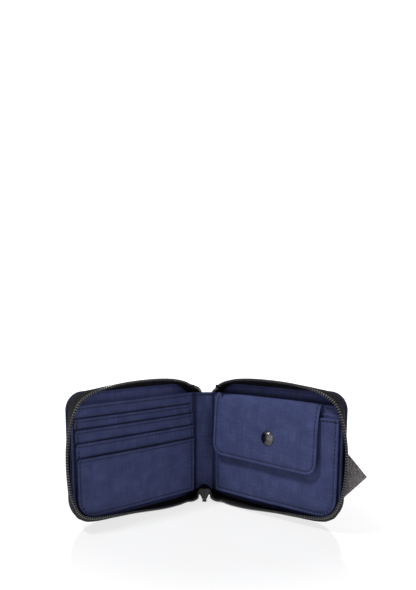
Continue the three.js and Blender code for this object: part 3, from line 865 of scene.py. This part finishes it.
def makeFlap():
    # its lower edge climbs a little towards the spine
    def slope(s):
        return 1 - 0.032 * (flap["end"] - s) / (flap["end"] - flap["start"])

    def flatRange(s):
        box = (flap["start"], 0, flap["end"], flapLength)
        return outlineAt(s, box, flap["radius"], 0, flap["radius"])

    def surface(s, r):
        low, high = flatRange(s)
        d = flapLength - (low + r * (high - low))
        return flapPoint(s, d * slope(s), flapForward(s, d))
    across = steps(flap["start"], flap["end"], 3.6)
    up = [d / flapLength for d in steps(0, flapLength, 2.6, closeEnd=False)]

    def shade(s, z):
        # painted shade in the groove of the flap's edge seam
        return 1.2 * seamShade(flapEdgeDistance(s, z), flap["seam"])
    outer = clothSheet("flap_face", across, up, surface, flatRange, toViewer, flap["thick"],
                       innerCloth, shade=shade)
    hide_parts("coin_flap")

    inset = 0.9

    def innerRange(s):
        return outlineAt(s, (flap["start"] + inset, inset, flap["end"] - inset, flapLength - 6),
                         flap["radius"] - inset, 0, flap["radius"] - inset)

    def innerSurface(s, r):
        low, high = innerRange(s)
        d = flapLength - (low + r * (high - low))
        return flapPoint(s, d * slope(s), flapForward(s, d) - 0.82)
    inner = clothSheet("flap_underside", steps(flap["start"] + inset, flap["end"] - inset, 3.6),
                       [d / flapLength for d in steps(0, flapLength, 3)], innerSurface, innerRange,
                       toViewer, 0.5, innerCloth)
    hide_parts("coin_flap_lining")
    start = toWorld(halfPoint("right", 50, -2, 87.6))
    end = toWorld(halfPoint("right", 50, -2, 82.5))
    for sheet in (outer, inner):
        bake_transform(sheet)

    def stitchPoint(s, z):
        d = flapLength - z
        return flapPoint(s, d * slope(s), flapForward(s, d) + 0.02)
    seam = flap["seam"]
    left, right = flap["start"] + seam, flap["end"] - seam
    top = flapLength - 7.5
    line = roundCorners([(left, top), (left, seam), (right, seam), (right, top)], flap["radius"] - seam)
    sewn = sewLine("stitches_flap", [line], stitchPoint, toViewer)
    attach(sewn, "coin_flap_body")

    # the strip that sews the flap to the panel, under its top edge
    low, high = flap["strip"]

    def stripRange(s):
        return low, high

    def stripSurface(s, r):
        return halfPoint("right", s, -0.75 - 0.12 * math.sin(math.pi * r), low + r * (high - low))
    strip = clothSheet("flap_tape", steps(flap["start"], flap["end"], 8), [0, 0.1, 0.3, 0.5, 0.7, 0.9, 1],
                       stripSurface, stripRange, toViewer, 0.45, innerCloth,
                       declared=False)
    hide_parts("flap_seam")
    rideHalf(strip, "right")


makeFlap()
print("flap ready")


# snap: turns a profile of (radius, height) about its axis
def spunPiece(name, profile, base, replaced, body, segments=48):
    bm = bmesh.new()
    verts = [bm.verts.new((radius, 0, height)) for radius, height in profile]
    edges = [bm.edges.new(pair) for pair in zip(verts, verts[1:])]
    bmesh.ops.spin(bm, geom=verts + edges, cent=(0, 0, 0), axis=(0, 0, 1), angle=2 * math.pi,
                   steps=segments, use_merge=True)
    bmesh.ops.remove_doubles(bm, verts=bm.verts, dist=0.0005)
    facing = inward("right")
    turn = facing.to_track_quat("Z", "Y").to_matrix().to_4x4()
    center = toWorld(halfPoint("right", snap["u"], -base, snap["z"]))
    bm.transform(Matrix.Translation(center) @ turn @ Matrix.Scale(mm, 4))
    bmesh.ops.recalc_face_normals(bm, faces=bm.faces)
    piece = finishPiece(name, bm, [snapMetal])
    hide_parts(replaced)
    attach(piece, body)


def makeSnap():
    rim, dome = snap["rim"], snap["dome"]
    profile = [(0, -0.6), (1.0, -0.6), (1.0, 0.0), (rim - 0.5, 0.0), (rim - 0.15, 0.1), (rim, 0.35),
               (rim - 0.1, 0.6), (rim - 0.4, 0.72), (rim - 0.62, 0.7)]
    for i in range(1, 13):
        angle = i / 12 * math.pi / 2
        profile.append(((rim - 0.7) * math.cos(angle), 0.68 + (dome - 0.68) * math.sin(angle)))
    profile[-1] = (0, profile[-1][1])
    spunPiece("snap_dome", profile, snap["front"], "snap_cap", "coin_flap_body", 64)
    spunPiece("snap_ring", [(2.3, 0), (4.5, 0), (4.8, 0.2), (4.9, 0.5), (4.9, 1.3), (4.7, 1.65), (4.4, 1.8),
                            (2.6, 1.8), (2.3, 1.6), (2.3, 0)], 3.5, "snap_socket", "coin_flap_body")
    spunPiece("snap_ball", [(0, 0), (3.6, 0), (3.8, 0.15), (3.75, 0.4), (2.1, 0.55), (1.7, 0.8), (1.6, 1.2),
                            (1.8, 1.6), (1.85, 1.85), (1.6, 2.2), (0.9, 2.3), (0, 2.3)], 2.9, "snap_stud",
              "right_half")


makeSnap()
print("snap ready")

# covers, spine band and bill-compartment lining
cover = {"edge": 112.6, "low": 0.3, "top": 96.0, "lowRadius": 22.0, "topRadius": 13.0, "dipWidth": 15.0,
         "dipTop": 86.0, "back": 8.5, "thick": 1.2, "seam": 2.6, "rise": 0.35, "dip": 0.4, "puff": 0.25,
         "bandHalf": 7.6}


# the top edge dips towards the spine, where the zip ends
def dipAt(s):
    t = min(max(s / cover["dipWidth"], 0), 1)
    return (cover["top"] - cover["dipTop"]) * (1 - t) ** 1.7


# lowest and highest z of a layer of the cover, s mm along it; it bends round the fold at its own depth
def coverOutline(s, bend=cover["back"] * openAngle, inset=0.0):
    flat = s - bend if s > 0 else s
    low, high = outlineAt(flat, (-99, cover["low"] + inset, cover["edge"] - inset, cover["top"] - inset),
                          cover["lowRadius"] - inset, cover["topRadius"] - inset)
    return low, high - dipAt(flat)


def makeCovers():
    bend = cover["back"] * openAngle
    for side in ("left", "right"):
        def point(s, z, side=side):
            high = coverOutline(s)[1]
            flat = s - bend
            edge = edgeDistance(flat, z, (-99, cover["low"], cover["edge"], cover["top"]),
                                cover["lowRadius"], cover["topRadius"])
            edge = min(edge, max(high - z, 0))
            lift = hemRelief(edge, cover) + unevenness(s, z, 20.0, 0.35)
            return layerPoint(side, s, cover["back"] + lift, z)

        def surface(s, r, point=point):
            low, high = coverOutline(s)
            return point(s, low + r * (high - low))
        across = [-spineHalf + 1.4, -6, -5, -4, -2.8, -1.6, -0.6, 0.4, 1.4, 2.6, 3.8, 5.0, 6.2, 7.6, 9.2,
                  11]
        across += steps(bend + 7, bend + cover["edge"], 5.0, closeStart=False)
        height = cover["top"] - cover["low"]
        up = [d / height for d in steps(0, height, 5.0)]
        piece = clothSheet("cover_cloth_" + side, across, up, surface, coverOutline, -inward(side),
                           cover["thick"], coverCloth)
        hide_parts("cover_" + side)
        blendFold(piece, side, cover["back"], 3.0, 9.0)
        seam = cover["seam"]
        edge, foot, top = bend + cover["edge"] - seam, cover["low"] + seam, cover["top"] - seam
        line = roundCorners([(bend + 24, top), (edge, top), (edge, foot + 30)],
                            cover["topRadius"] - seam)
        line = line[:-1] + roundCorners([(edge, foot + 40), (edge, foot), (bend + 12, foot)],
                                        cover["lowRadius"] - seam)
        sewn = sewLine("stitches_cover_" + side, [line], point, -inward(side))
        rideHalf(sewn, side)

    # a narrow band covers the middle of the spine, over the edges of both covers
    def bandOutline(x):
        return cover["low"] + archAt(x) * 0.9, cover["dipTop"]

    def bandPoint(x, z):
        low, high = bandOutline(x)
        edge = min(cover["bandHalf"] - abs(x), z - low, high - z)
        lift = hemRelief(max(edge, 0), {"seam": 1.6, "rise": 0.15, "dip": 0.2, "puff": 0.0})
        return Vector((x, cover["back"] + 0.3 + lift + unevenness(x, z, 22.0, 0.08), z))

    def bandSurface(x, r):
        low, high = bandOutline(x)
        return bandPoint(x, low + r * (high - low))
    height = cover["dipTop"] - cover["low"]
    across = steps(-cover["bandHalf"], cover["bandHalf"], 1.0)
    band = clothSheet("spine_band", across[:9] + [-1.5, 0, 1.5] + across[-9:],
                      [d / height for d in steps(0, height, 5.0)], bandSurface, bandOutline,
                      -toViewer, 0.8, coverCloth)
    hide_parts("spine_cover")
    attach(band, "spine")
    lines = [[(x, 9), (x, cover["dipTop"] - 2)] for x in (-5.9, 5.9)]
    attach(sewLine("stitches_spine_band", lines, bandPoint, -toViewer), "spine")


makeCovers()
print("covers ready")

lining = {"front": 5.3, "thick": 0.5, "inset": 1.0}


def makeLinings():
    bend = lining["front"] * openAngle
    for side in ("left", "right"):
        def outline(s):
            return coverOutline(s, bend, lining["inset"])

        def surface(s, r, side=side):
            low, high = outline(s)
            z = low + r * (high - low)
            flat = s - bend
            edge = edgeDistance(flat, z, (-99, cover["low"] + 1.5, cover["edge"] - 1.5, cover["top"] - 1.5),
                                cover["lowRadius"] - 1.5, cover["topRadius"] - 1.5)
            edge = min(edge, max(high - z, 0))
            back = 1.1 * math.exp(-(edge / 1.3) ** 2)
            wave = unevenness(s, z, 30.0 if side == "left" else 34.0, 0.3) * min(edge / 6, 1)
            return layerPoint(side, s, lining["front"] + back + wave, z)
        across = [-2 * spineHalf + 0.6, -14, -11, -8.5, -6, -4, -2] if side == "left" else [-4, -2.6, -1.2]
        across += [-0.4, 0.4, 1.4, 2.4, 3.4, 4.6, 6.5]
        across += steps(bend + 5, bend + cover["edge"] - lining["inset"], 7, closeStart=False)
        height = 92.0

        def shade(s, z):
            # painted shade: the lining's colour darkens towards its foot near the spine, behind the slider
            # and the arch
            return 1.4 * math.exp(-(z / 14) ** 2) * math.exp(-(max(s + 1, 0) / 6) ** 2)
        up = [d / height for d in steps(0, height, 7)]
        piece = clothSheet("lining_cloth_" + side, across, up, surface, outline, toViewer,
                           lining["thick"], liningCloth, shade=shade)
        if side == "left":
            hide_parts("lining_left", "spine_lining")
        else:
            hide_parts("lining_right")
        blendFold(piece, side, lining["front"], 2.5, 6.0)


makeLinings()
print("linings ready")

# zip: tape wall and teeth
zipper = {
    # the tape's edge of teeth in one half, as (u, z, y), from near the spine's top round to its foot
    "edge": [(10, 95.2, -5.9),
             (17, 98, -6.6), (30, 100.6, -6.6), (50, 101.7, -6.6), (75, 101, -6.6), (95, 98.4, -6.6),
             (107, 94.2, -6.6), (114, 88, -6.6), (119, 76, -6.6), (122.2, 60, -6.6), (122.4, 45, -6.6),
             (120.4, 29, -6.6), (114.6, 14.8, -6.6), (105, 8.4, -6.6), (88, 5.9, -6.6), (63, 3.6, -6.6),
             (40, 1.2, -6.6), (24, 0.6, -6.6), (14, 1.0, -6.4)],
    "end": {"left": 3.2, "right": 7.0}, "thick": 0.8, "bow": 0.9, "steps": 220, "seamInset": 0.8,
    "pitch": 1.85, "toothWide": 2.3, "toothLong": 0.85, "toothHigh": 1.75}


# past the half the zip dives behind the panel at the top and turns up beside the slider at the foot;
# these points are in the wallet's own frame
def zipEdge(side):
    m, end = mirror[side], zipper["end"][side]
    points = [Vector((m * end, 5.2, 84.0)), Vector((m * (end + 0.2), 3.4, 87.0)),
              Vector((m * (end + 1.2), 0.4, 89.6)), Vector((m * (end + 3.4), -4.0, 92.3))]
    points += [halfPoint(side, u, y, z) for u, z, y in zipper["edge"]]
    points += [Vector((m * 9.6, -13.2, 1.2)), Vector((m * 6.8, -12.0, 2.0)), Vector((m * 4.9, -10.8, 3.2)),
               Vector((m * 4.1, -9.5, 5.6)), Vector((m * 3.4, -8.2, 8.4)), Vector((m * 2.0, -7.9, 9.2))]
    return smoothPath(points, zipper["steps"] + 1)


def zipSeam(side):
    inset = zipper["seamInset"]
    right, top, low = cover["edge"] - inset, cover["top"] - inset, cover["low"] + inset
    flat = [(u, top - dipAt(u)) for u in (1.0, 2.0, 3.5, 5, 7, 9, 11, 13, 16, 20)]
    end = zipper["end"][side] + 0.5
    flat += roundCorners([(30, top), (right, top), (right, 50)], cover["topRadius"] - inset)
    flat += roundCorners([(right, 45), (right, low), (20, low)], cover["lowRadius"] - inset)
    flat += [(12, low), (6, low + 0.4)]
    points = [Vector((mirror[side] * end, 6.9, 83.6)), Vector((mirror[side] * max(end, 8.0), 6.9, 84.6))]
    points += [halfPoint(side, u, 6.9, z) for u, z in flat]
    points += [Vector((mirror[side] * x, 6.6, z))
               for x, z in ((10.5, 1.6), (8.0, 3.0), (6.4, 5.2), (5.2, 8.0))]
    return resample(points, zipper["steps"] + 1)


def makeZip(side):
    edge, seam = zipEdge(side), zipSeam(side)
    count = zipper["steps"]
    middle = halfPoint(side, 60, 0, 48)

    def inwardAt(i):
        tangent = (edge[min(i + 1, count)] - edge[max(i - 1, 0)]).normalized()
        wall = (edge[i] - seam[i]).normalized()
        normal = tangent.cross(wall).normalized()
        return normal if normal.dot(middle - edge[i]) > 0 else -normal
    inwards = [inwardAt(i) for i in range(count + 1)]
    bm = bmesh.new()
    uvLayer = bm.loops.layers.uv.new("cloth")
    across = [0, 0.06, 0.15, 0.3, 0.45, 0.6, 0.75, 0.88, 0.96, 1.0]
    last = len(across) - 1
    bmesh.ops.create_grid(bm, x_segments=count, y_segments=last, size=1)
    for face in bm.faces:
        for loop in face.loops:
            loop[uvLayer].uv = ((loop.vert.co.x + 1) * 1.75,
                                across[round((loop.vert.co.y + 1) / 2 * last)] * 0.15)
    for vert in bm.verts:
        i = round((vert.co.x + 1) / 2 * count)
        b = across[round((vert.co.y + 1) / 2 * last)]
        ripple = 0.25 * noise.noise(Vector((i * 0.12, b * 2, 40.0)))
        out = (zipper["bow"] + ripple) * math.sin(math.pi * b)
        vert.co = toWorld(seam[i].lerp(edge[i], b) - inwards[i] * out)
    bm.normal_update()
    if sum(f.normal.dot(f.calc_center_median() - toWorld(middle)) for f in bm.faces) < 0:
        bmesh.ops.reverse_faces(bm, faces=bm.faces)
    tape = finishPiece("tape_" + side, bm, [blackTape])
    addModifier(tape, "SOLIDIFY", thickness=zipper["thick"] * mm, offset=-1.0)
    addModifier(tape, "SUBSURF", levels=1, render_levels=1)
    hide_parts("zip_tape_" + side)

    # teeth: rounded blocks across the tape's edge, on a cord that is woven into it
    bm = bmesh.new()
    length = sum((b - a).length for a, b in zip(edge, edge[1:]))
    teethCount = int(length / zipper["pitch"])
    for k in range(teethCount):
        place = (k + 0.5) / teethCount * count
        i = min(int(place), count - 1)
        here = edge[i].lerp(edge[i + 1], place - i)
        tangent = (edge[i + 1] - edge[i]).normalized()
        into = inwards[i].lerp(inwards[i + 1], place - i).normalized()
        forward = into.cross(tangent).normalized()
        if forward.dot(edge[i] - seam[i]) < 0:
            forward = -forward
        center = here + into * 1.05 + forward * (zipper["toothHigh"] / 2 - 0.05)
        turn = Matrix((tangent, into, forward)).transposed().to_4x4()
        size = Matrix.Diagonal((zipper["toothLong"], zipper["toothWide"], zipper["toothHigh"], 1))
        made = bmesh.ops.create_cube(bm, size=1, matrix=Matrix.Translation(center) @ turn @ size)
        for vert in made["verts"]:
            if (vert.co - center).dot(forward) > 0:
                vert.co -= into * (vert.co - center).dot(into) * 0.3
    bmesh.ops.bevel(bm, geom=bm.edges[:], offset=0.34, offset_type="OFFSET", segments=1, profile=0.5,
                    affect="EDGES", clamp_overlap=True, material=-1)
    bm.transform(Matrix.Translation(spineMiddle) @ Matrix.Scale(mm, 4))
    bmesh.ops.recalc_face_normals(bm, faces=bm.faces)
    teeth = finishPiece("teeth_" + side, bm, [teethNylon], smooth=False)
    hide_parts("zip_teeth_" + side)

    bm = bmesh.new()
    ring = 8
    bmesh.ops.create_grid(bm, x_segments=count, y_segments=ring, size=1)
    for vert in bm.verts:
        i = round((vert.co.x + 1) / 2 * count)
        angle = (vert.co.y + 1) * math.pi
        tangent = (edge[min(i + 1, count)] - edge[max(i - 1, 0)]).normalized()
        forward = (edge[i] - seam[i]).normalized()
        forward = (forward - tangent * forward.dot(tangent)).normalized()
        center = edge[i] + inwards[i] * 1.0 + forward * 0.1
        vert.co = toWorld(center + inwards[i] * math.cos(angle) * 0.95 + forward * math.sin(angle) * 0.42)
    bmesh.ops.remove_doubles(bm, verts=bm.verts, dist=0.00001)
    bmesh.ops.holes_fill(bm, edges=[e for e in bm.edges if e.is_boundary], sides=0)
    bmesh.ops.recalc_face_normals(bm, faces=bm.faces)
    cordPiece = finishPiece("tape_edge_" + side, bm, [blackThread])
    start = toWorld((mirror[side] * 5.5, -8.0, 48))
    end = toWorld(halfPoint(side, 13.0, -6.4, 48))
    for piece in (tape, teeth, cordPiece):
        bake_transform(piece)


for side in ("left", "right"):
    makeZip(side)
print("zip ready")

# slider, stops and puller
slider = {"tilt": math.radians(22), "place": Vector((0, -9, 6.3)), "plate": 1.0, "channel": 2.6}
sliderFrame = (Matrix.Translation(toWorld(slider["place"])) @ Matrix.Rotation(-slider["tilt"], 4, "X")
               @ Matrix.Scale(mm, 4))


def sliderOutline():
    half = [(1.7, -3.9), (1.95, -3.0), (2.4, -2.0), (3.0, -0.9), (3.7, 0.3), (4.3, 1.4), (4.5, 2.2),
            (4.4, 3.0), (3.9, 3.7), (3.1, 4.0)]
    return half + [(-x, z) for x, z in reversed(half)]


def plateMesh(bm, outline, y0, y1, bevelled):
    verts = [bm.verts.new((x, y0, z)) for x, z in outline]
    face = bm.faces.new(verts)
    made = bmesh.ops.extrude_face_region(bm, geom=[face])
    moved = [v for v in made["geom"] if isinstance(v, bmesh.types.BMVert)]
    bmesh.ops.translate(bm, verts=moved, vec=(0, y1 - y0, 0))
    edges = {e for v in verts + moved for e in v.link_edges}
    rims = [e for e in edges if abs(e.verts[0].co.y - e.verts[1].co.y) < 1e-6]
    bmesh.ops.bevel(bm, geom=rims, offset=bevelled, offset_type="OFFSET", segments=3, profile=0.5,
                    affect="EDGES", clamp_overlap=True, material=-1)


def makeSlider():
    half = slider["channel"] / 2
    bm = bmesh.new()
    plateMesh(bm, sliderOutline(), -half - slider["plate"], -half, 0.32)
    plateMesh(bm, sliderOutline(), half, half + slider["plate"], 0.32)
    # a raised pad on the inner plate and the flanges that fold over the chain
    pad = [(x * 0.66, z * 0.66 - 0.15) for x, z in sliderOutline()]
    plateMesh(bm, pad, -half - slider["plate"] - 0.28, -half - slider["plate"] + 0.1, 0.14)
    for m in (-1, 1):
        flange = [(m * 2.0, -3.8), (m * 2.7, -2.0), (m * 3.5, -0.7), (m * 4.2, 0.5), (m * 3.7, 0.8),
                  (m * 2.9, -0.4), (m * 2.2, -1.7), (m * 1.5, -3.8)]
        plateMesh(bm, flange, -half - 0.3, -half + 0.75, 0.12)
        plateMesh(bm, flange, half - 0.75, half + 0.3, 0.12)
    # the post that joins the plates, then the bridge for the puller
    bmesh.ops.create_cone(bm, cap_ends=True, segments=16, radius1=1.1, radius2=1.1,
                          depth=slider["channel"] + 0.6,
                          matrix=Matrix.Translation((0, 0, 3.1)) @ Matrix.Rotation(math.pi / 2, 4, "X"))
    bm.transform(sliderFrame)
    bmesh.ops.recalc_face_normals(bm, faces=bm.faces)
    body = finishPiece("slider_body", bm, [zipMetal])
    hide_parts("zip_slider")
    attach(body, "slider")

    bm = bmesh.new()
    path = [(half + 0.7, -1.9), (half + 1.7, -1.85), (half + 2.35, -1.2), (half + 2.5, 0.0),
            (half + 2.5, 1.0), (half + 2.3, 2.2), (half + 1.7, 2.9), (half + 0.7, 3.0)]
    rings = []
    for i, (y, z) in enumerate(path):
        before, after = Vector(path[max(i - 1, 0)]), Vector(path[min(i + 1, len(path) - 1)])
        tangent = (after - before).normalized()
        turn = Matrix.Rotation(math.atan2(tangent.y, tangent.x), 4, "X")
        ring = bmesh.ops.create_circle(bm, segments=12, radius=1,
                                       matrix=Matrix.Translation((0, y, z)) @ turn
                                       @ Matrix.Rotation(math.pi / 2, 4, "X")
                                       @ Matrix.Diagonal((0.9, 0.36, 1, 1)))
        rings.append(ring["verts"])
    for a, b in zip(rings, rings[1:]):
        edges = [e for e in bm.edges if (e.verts[0] in a and e.verts[1] in a)
                 or (e.verts[0] in b and e.verts[1] in b)]
        bmesh.ops.bridge_loops(bm, edges=edges)
    bmesh.ops.holes_fill(bm, edges=[e for e in bm.edges if e.is_boundary], sides=0)
    bm.transform(sliderFrame)
    bmesh.ops.recalc_face_normals(bm, faces=bm.faces)
    bridge = finishPiece("slider_bridge", bm, [zipMetal])
    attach(bridge, "slider")

    bm = bmesh.new()
    plateMesh(bm, [(1.6, -6.2), (1.7, -4.2), (-1.7, -4.2), (-1.6, -6.2)], -1.25, 1.25, 0.5)
    bm.transform(sliderFrame)
    bmesh.ops.recalc_face_normals(bm, faces=bm.faces)
    stop = finishPiece("bottom_stop", bm, [zipMetal])
    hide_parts("zip_bottom_stop")
    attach(stop, "spine")


def makePuller():
    puller = {"long": 17.0, "halfWidth": 2.9, "thick": 1.1, "drop": math.radians(13)}
    pin = Vector(joints["puller_swing"]["pos_m"])
    bm = bmesh.new()
    half, long = puller["halfWidth"], puller["long"]
    rail = [(-2.5, -0.5), (-2.7, 6), (-half, long)]
    rail += [(-half * math.cos(a), long + half * math.sin(a))
             for a in (0.4, 0.8, 1.2, 1.57, 1.94, 2.34, 2.74)]
    rail += [(half, long), (2.7, 6), (2.5, -0.5)]
    inner = [(1.5, 0.5), (1.5, 4.2), (-1.5, 4.2), (-1.5, 0.5)]
    outerRing = [bm.verts.new((x, y, 0)) for x, y in rail]
    innerRing = [bm.verts.new((x, y, 0)) for x, y in inner]
    edges = [bm.edges.new((a, b)) for a, b in zip(outerRing, outerRing[1:] + outerRing[:1])]
    edges += [bm.edges.new((a, b)) for a, b in zip(innerRing, innerRing[1:] + innerRing[:1])]
    bmesh.ops.triangle_fill(bm, use_beauty=True, use_dissolve=False, edges=edges)
    faces = bm.faces[:]
    made = bmesh.ops.extrude_face_region(bm, geom=faces)
    moved = [v for v in made["geom"] if isinstance(v, bmesh.types.BMVert)]
    bmesh.ops.translate(bm, verts=moved, vec=(0, 0, puller["thick"]))
    bmesh.ops.recalc_face_normals(bm, faces=bm.faces)
    rims = [e for e in bm.edges if len(e.link_faces) == 2 and e.calc_face_angle() > 0.8
            and abs(e.verts[0].co.z - e.verts[1].co.z) < 1e-6]
    bmesh.ops.bevel(bm, geom=rims, offset=0.28, offset_type="OFFSET", segments=2, profile=0.5,
                    affect="EDGES", clamp_overlap=True, material=-1)
    bm.transform(Matrix.Translation(pin) @ Matrix.Rotation(-puller["drop"], 4, "X") @ Matrix.Scale(mm, 4)
                 @ Matrix.Translation((0, 0, -puller["thick"] / 2)))
    bmesh.ops.recalc_face_normals(bm, faces=bm.faces)
    piece = finishPiece("puller_blade", bm, [zipMetal], smooth=False)
    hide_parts("zip_puller")
    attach(piece, "puller")


makeSlider()
makePuller()
print("slider ready")

# grip tab behind the right fore edge


def makeGripTab():
    tab = {"side": 25.0, "turn": math.radians(47), "u": 110.4, "z": 39.0, "y": 8.8, "thick": 1.6}
    bm = bmesh.new()
    bmesh.ops.create_grid(bm, x_segments=14, y_segments=14, size=tab["side"] / 2)
    made = bmesh.ops.extrude_face_region(bm, geom=bm.faces[:])
    moved = [v for v in made["geom"] if isinstance(v, bmesh.types.BMVert)]
    bmesh.ops.translate(bm, verts=moved, vec=(0, 0, tab["thick"]))
    bmesh.ops.recalc_face_normals(bm, faces=bm.faces)
    for face in bm.faces:
        if abs(face.normal.z) < 0.5:
            face.material_index = 1
    rims = [e for e in bm.edges if len(e.link_faces) == 2 and e.calc_face_angle() > 1.0]
    bmesh.ops.bevel(bm, geom=rims, offset=0.45, offset_type="OFFSET", segments=3, profile=0.5,
                    affect="EDGES", clamp_overlap=True, material=-1)
    reach = tab["side"] / 2
    for vert in bm.verts:
        edge = reach - max(abs(vert.co.x), abs(vert.co.y))
        swell = 0.18 * (1 - math.exp(-max(edge, 0) / 2.5)) - 0.2 * math.exp(-((edge - 1.8) / 0.5) ** 2)
        vert.co.z += swell if vert.co.z > tab["thick"] / 2 else -swell
        turned = Matrix.Rotation(tab["turn"], 2) @ Vector((vert.co.x, vert.co.y))
        depth = tab["y"] + tab["thick"] - vert.co.z
        vert.co = toWorld(halfPoint("right", tab["u"] + turned.x, depth, tab["z"] + turned.y))
    bmesh.ops.recalc_face_normals(bm, faces=bm.faces)
    piece = finishPiece("leather_tab", bm, [leather, edgePaint])
    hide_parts("grip_tab")
    rideHalf(piece, "right")


makeGripTab()
print("grip tab ready")

# the pieces that keep their CAD shape get their finishes here
for nodeName, material in (("board_left", boardPaper), ("board_right", boardPaper),
                           ("snap_post", snapMetal), ("zip_chain_end", teethNylon),
                           ("zip_top_stop_left", zipMetal), ("zip_top_stop_right", zipMetal)):
    node = frame["nodes"][nodeName]
    node.data.materials.clear()
    node.data.materials.append(material)

# floor, lights and camera


def makeStage():
    bm = bmesh.new()
    bmesh.ops.create_grid(bm, x_segments=2, y_segments=2, size=6)
    bmesh.ops.translate(bm, verts=bm.verts, vec=(0, 0, -0.0002))
    mesh = bpy.data.meshes.new("floor")
    bm.to_mesh(mesh)
    bm.free()
    floor = bpy.data.objects.new("floor", mesh)
    scene.collection.objects.link(floor)
    material, tree, shader = newMaterial("pale floor")
    place = tree.nodes.new("ShaderNodeTexCoord").outputs["Object"]
    far = tree.nodes.new("ShaderNodeVectorMath")
    far.operation = "LENGTH"
    tree.links.new(place, far.inputs[0])
    spread = tree.nodes.new("ShaderNodeMapRange")
    spread.interpolation_type = "SMOOTHSTEP"
    tree.links.new(far.outputs["Value"], spread.inputs["Value"])
    glow = (*studio["glowSpread"], studio["nearGlow"], studio["farGlow"])
    for socket, value in zip(spread.inputs[1:5], glow):
        socket.default_value = value
    shader.inputs["Base Color"].default_value = (0.16, 0.16, 0.16, 1)
    shader.inputs["Emission Color"].default_value = (1, 1, 1, 1)
    tree.links.new(spread.outputs["Result"], shader.inputs["Emission Strength"])
    shader.inputs["Roughness"].default_value = 0.08
    shader.inputs["Specular IOR Level"].default_value = 0.8
    mesh.materials.append(material)

    world = bpy.data.worlds.new("studio")
    scene.world = world
    world.use_nodes = True
    tree = world.node_tree
    back = tree.nodes["Background"]
    back.inputs["Color"].default_value = (1, 1, 1, 1)
    path = tree.nodes.new("ShaderNodeLightPath")
    ambient = studio["ambient"]
    strength = calc(tree, "MULTIPLY_ADD", path.outputs["Is Camera Ray"], studio["backdrop"] - ambient,
                    ambient)
    strength = calc(tree, "MULTIPLY_ADD", path.outputs["Is Glossy Ray"], studio["mirror"] - ambient,
                    strength)
    tree.links.new(strength, back.inputs["Strength"])

    aim = toWorld((0, -30, 50))
    for name, place, size, power in studio["lights"]:
        light = bpy.data.lights.new(name, "AREA")
        light.shape = "RECTANGLE"
        light.size, light.size_y = size
        light.energy = power
        lamp = bpy.data.objects.new(name, light)
        lamp.location = Vector(place)
        lamp.rotation_euler = (aim - lamp.location).to_track_quat("-Z", "Y").to_euler()
        scene.collection.objects.link(lamp)

    camera = bpy.data.cameras.new("camera")
    view = bpy.data.objects.new("camera", camera)
    scene.collection.objects.link(view)
    view.location = toWorld((-9.0, -474.9, 147.1))
    view.rotation_euler = (math.radians(90 - 9.26), 0, 0)
    camera.lens = 36.75
    camera.sensor_width = 36
    camera.shift_x = 0.0251
    camera.shift_y = 0.2017
    camera.dof.use_dof = False
    scene.camera = view
    scene.view_settings.view_transform = "Standard"


studio = {"ambient": 0.16, "mirror": 0.7, "backdrop": 1.2,
          "glowSpread": (0.09, 0.22), "nearGlow": 0.76, "farGlow": 1.02,
          "lights": [("key", (-0.6, -0.34, 1.2), (0.2, 0.2), 19.0),
                     ("fill", (0.8, -0.85, 0.55), (0.6, 0.6), 5.0),
                     ("front", (-0.5, -1.1, 0.5), (0.6, 0.6), 0.8)]}
makeStage()
print("stage ready")
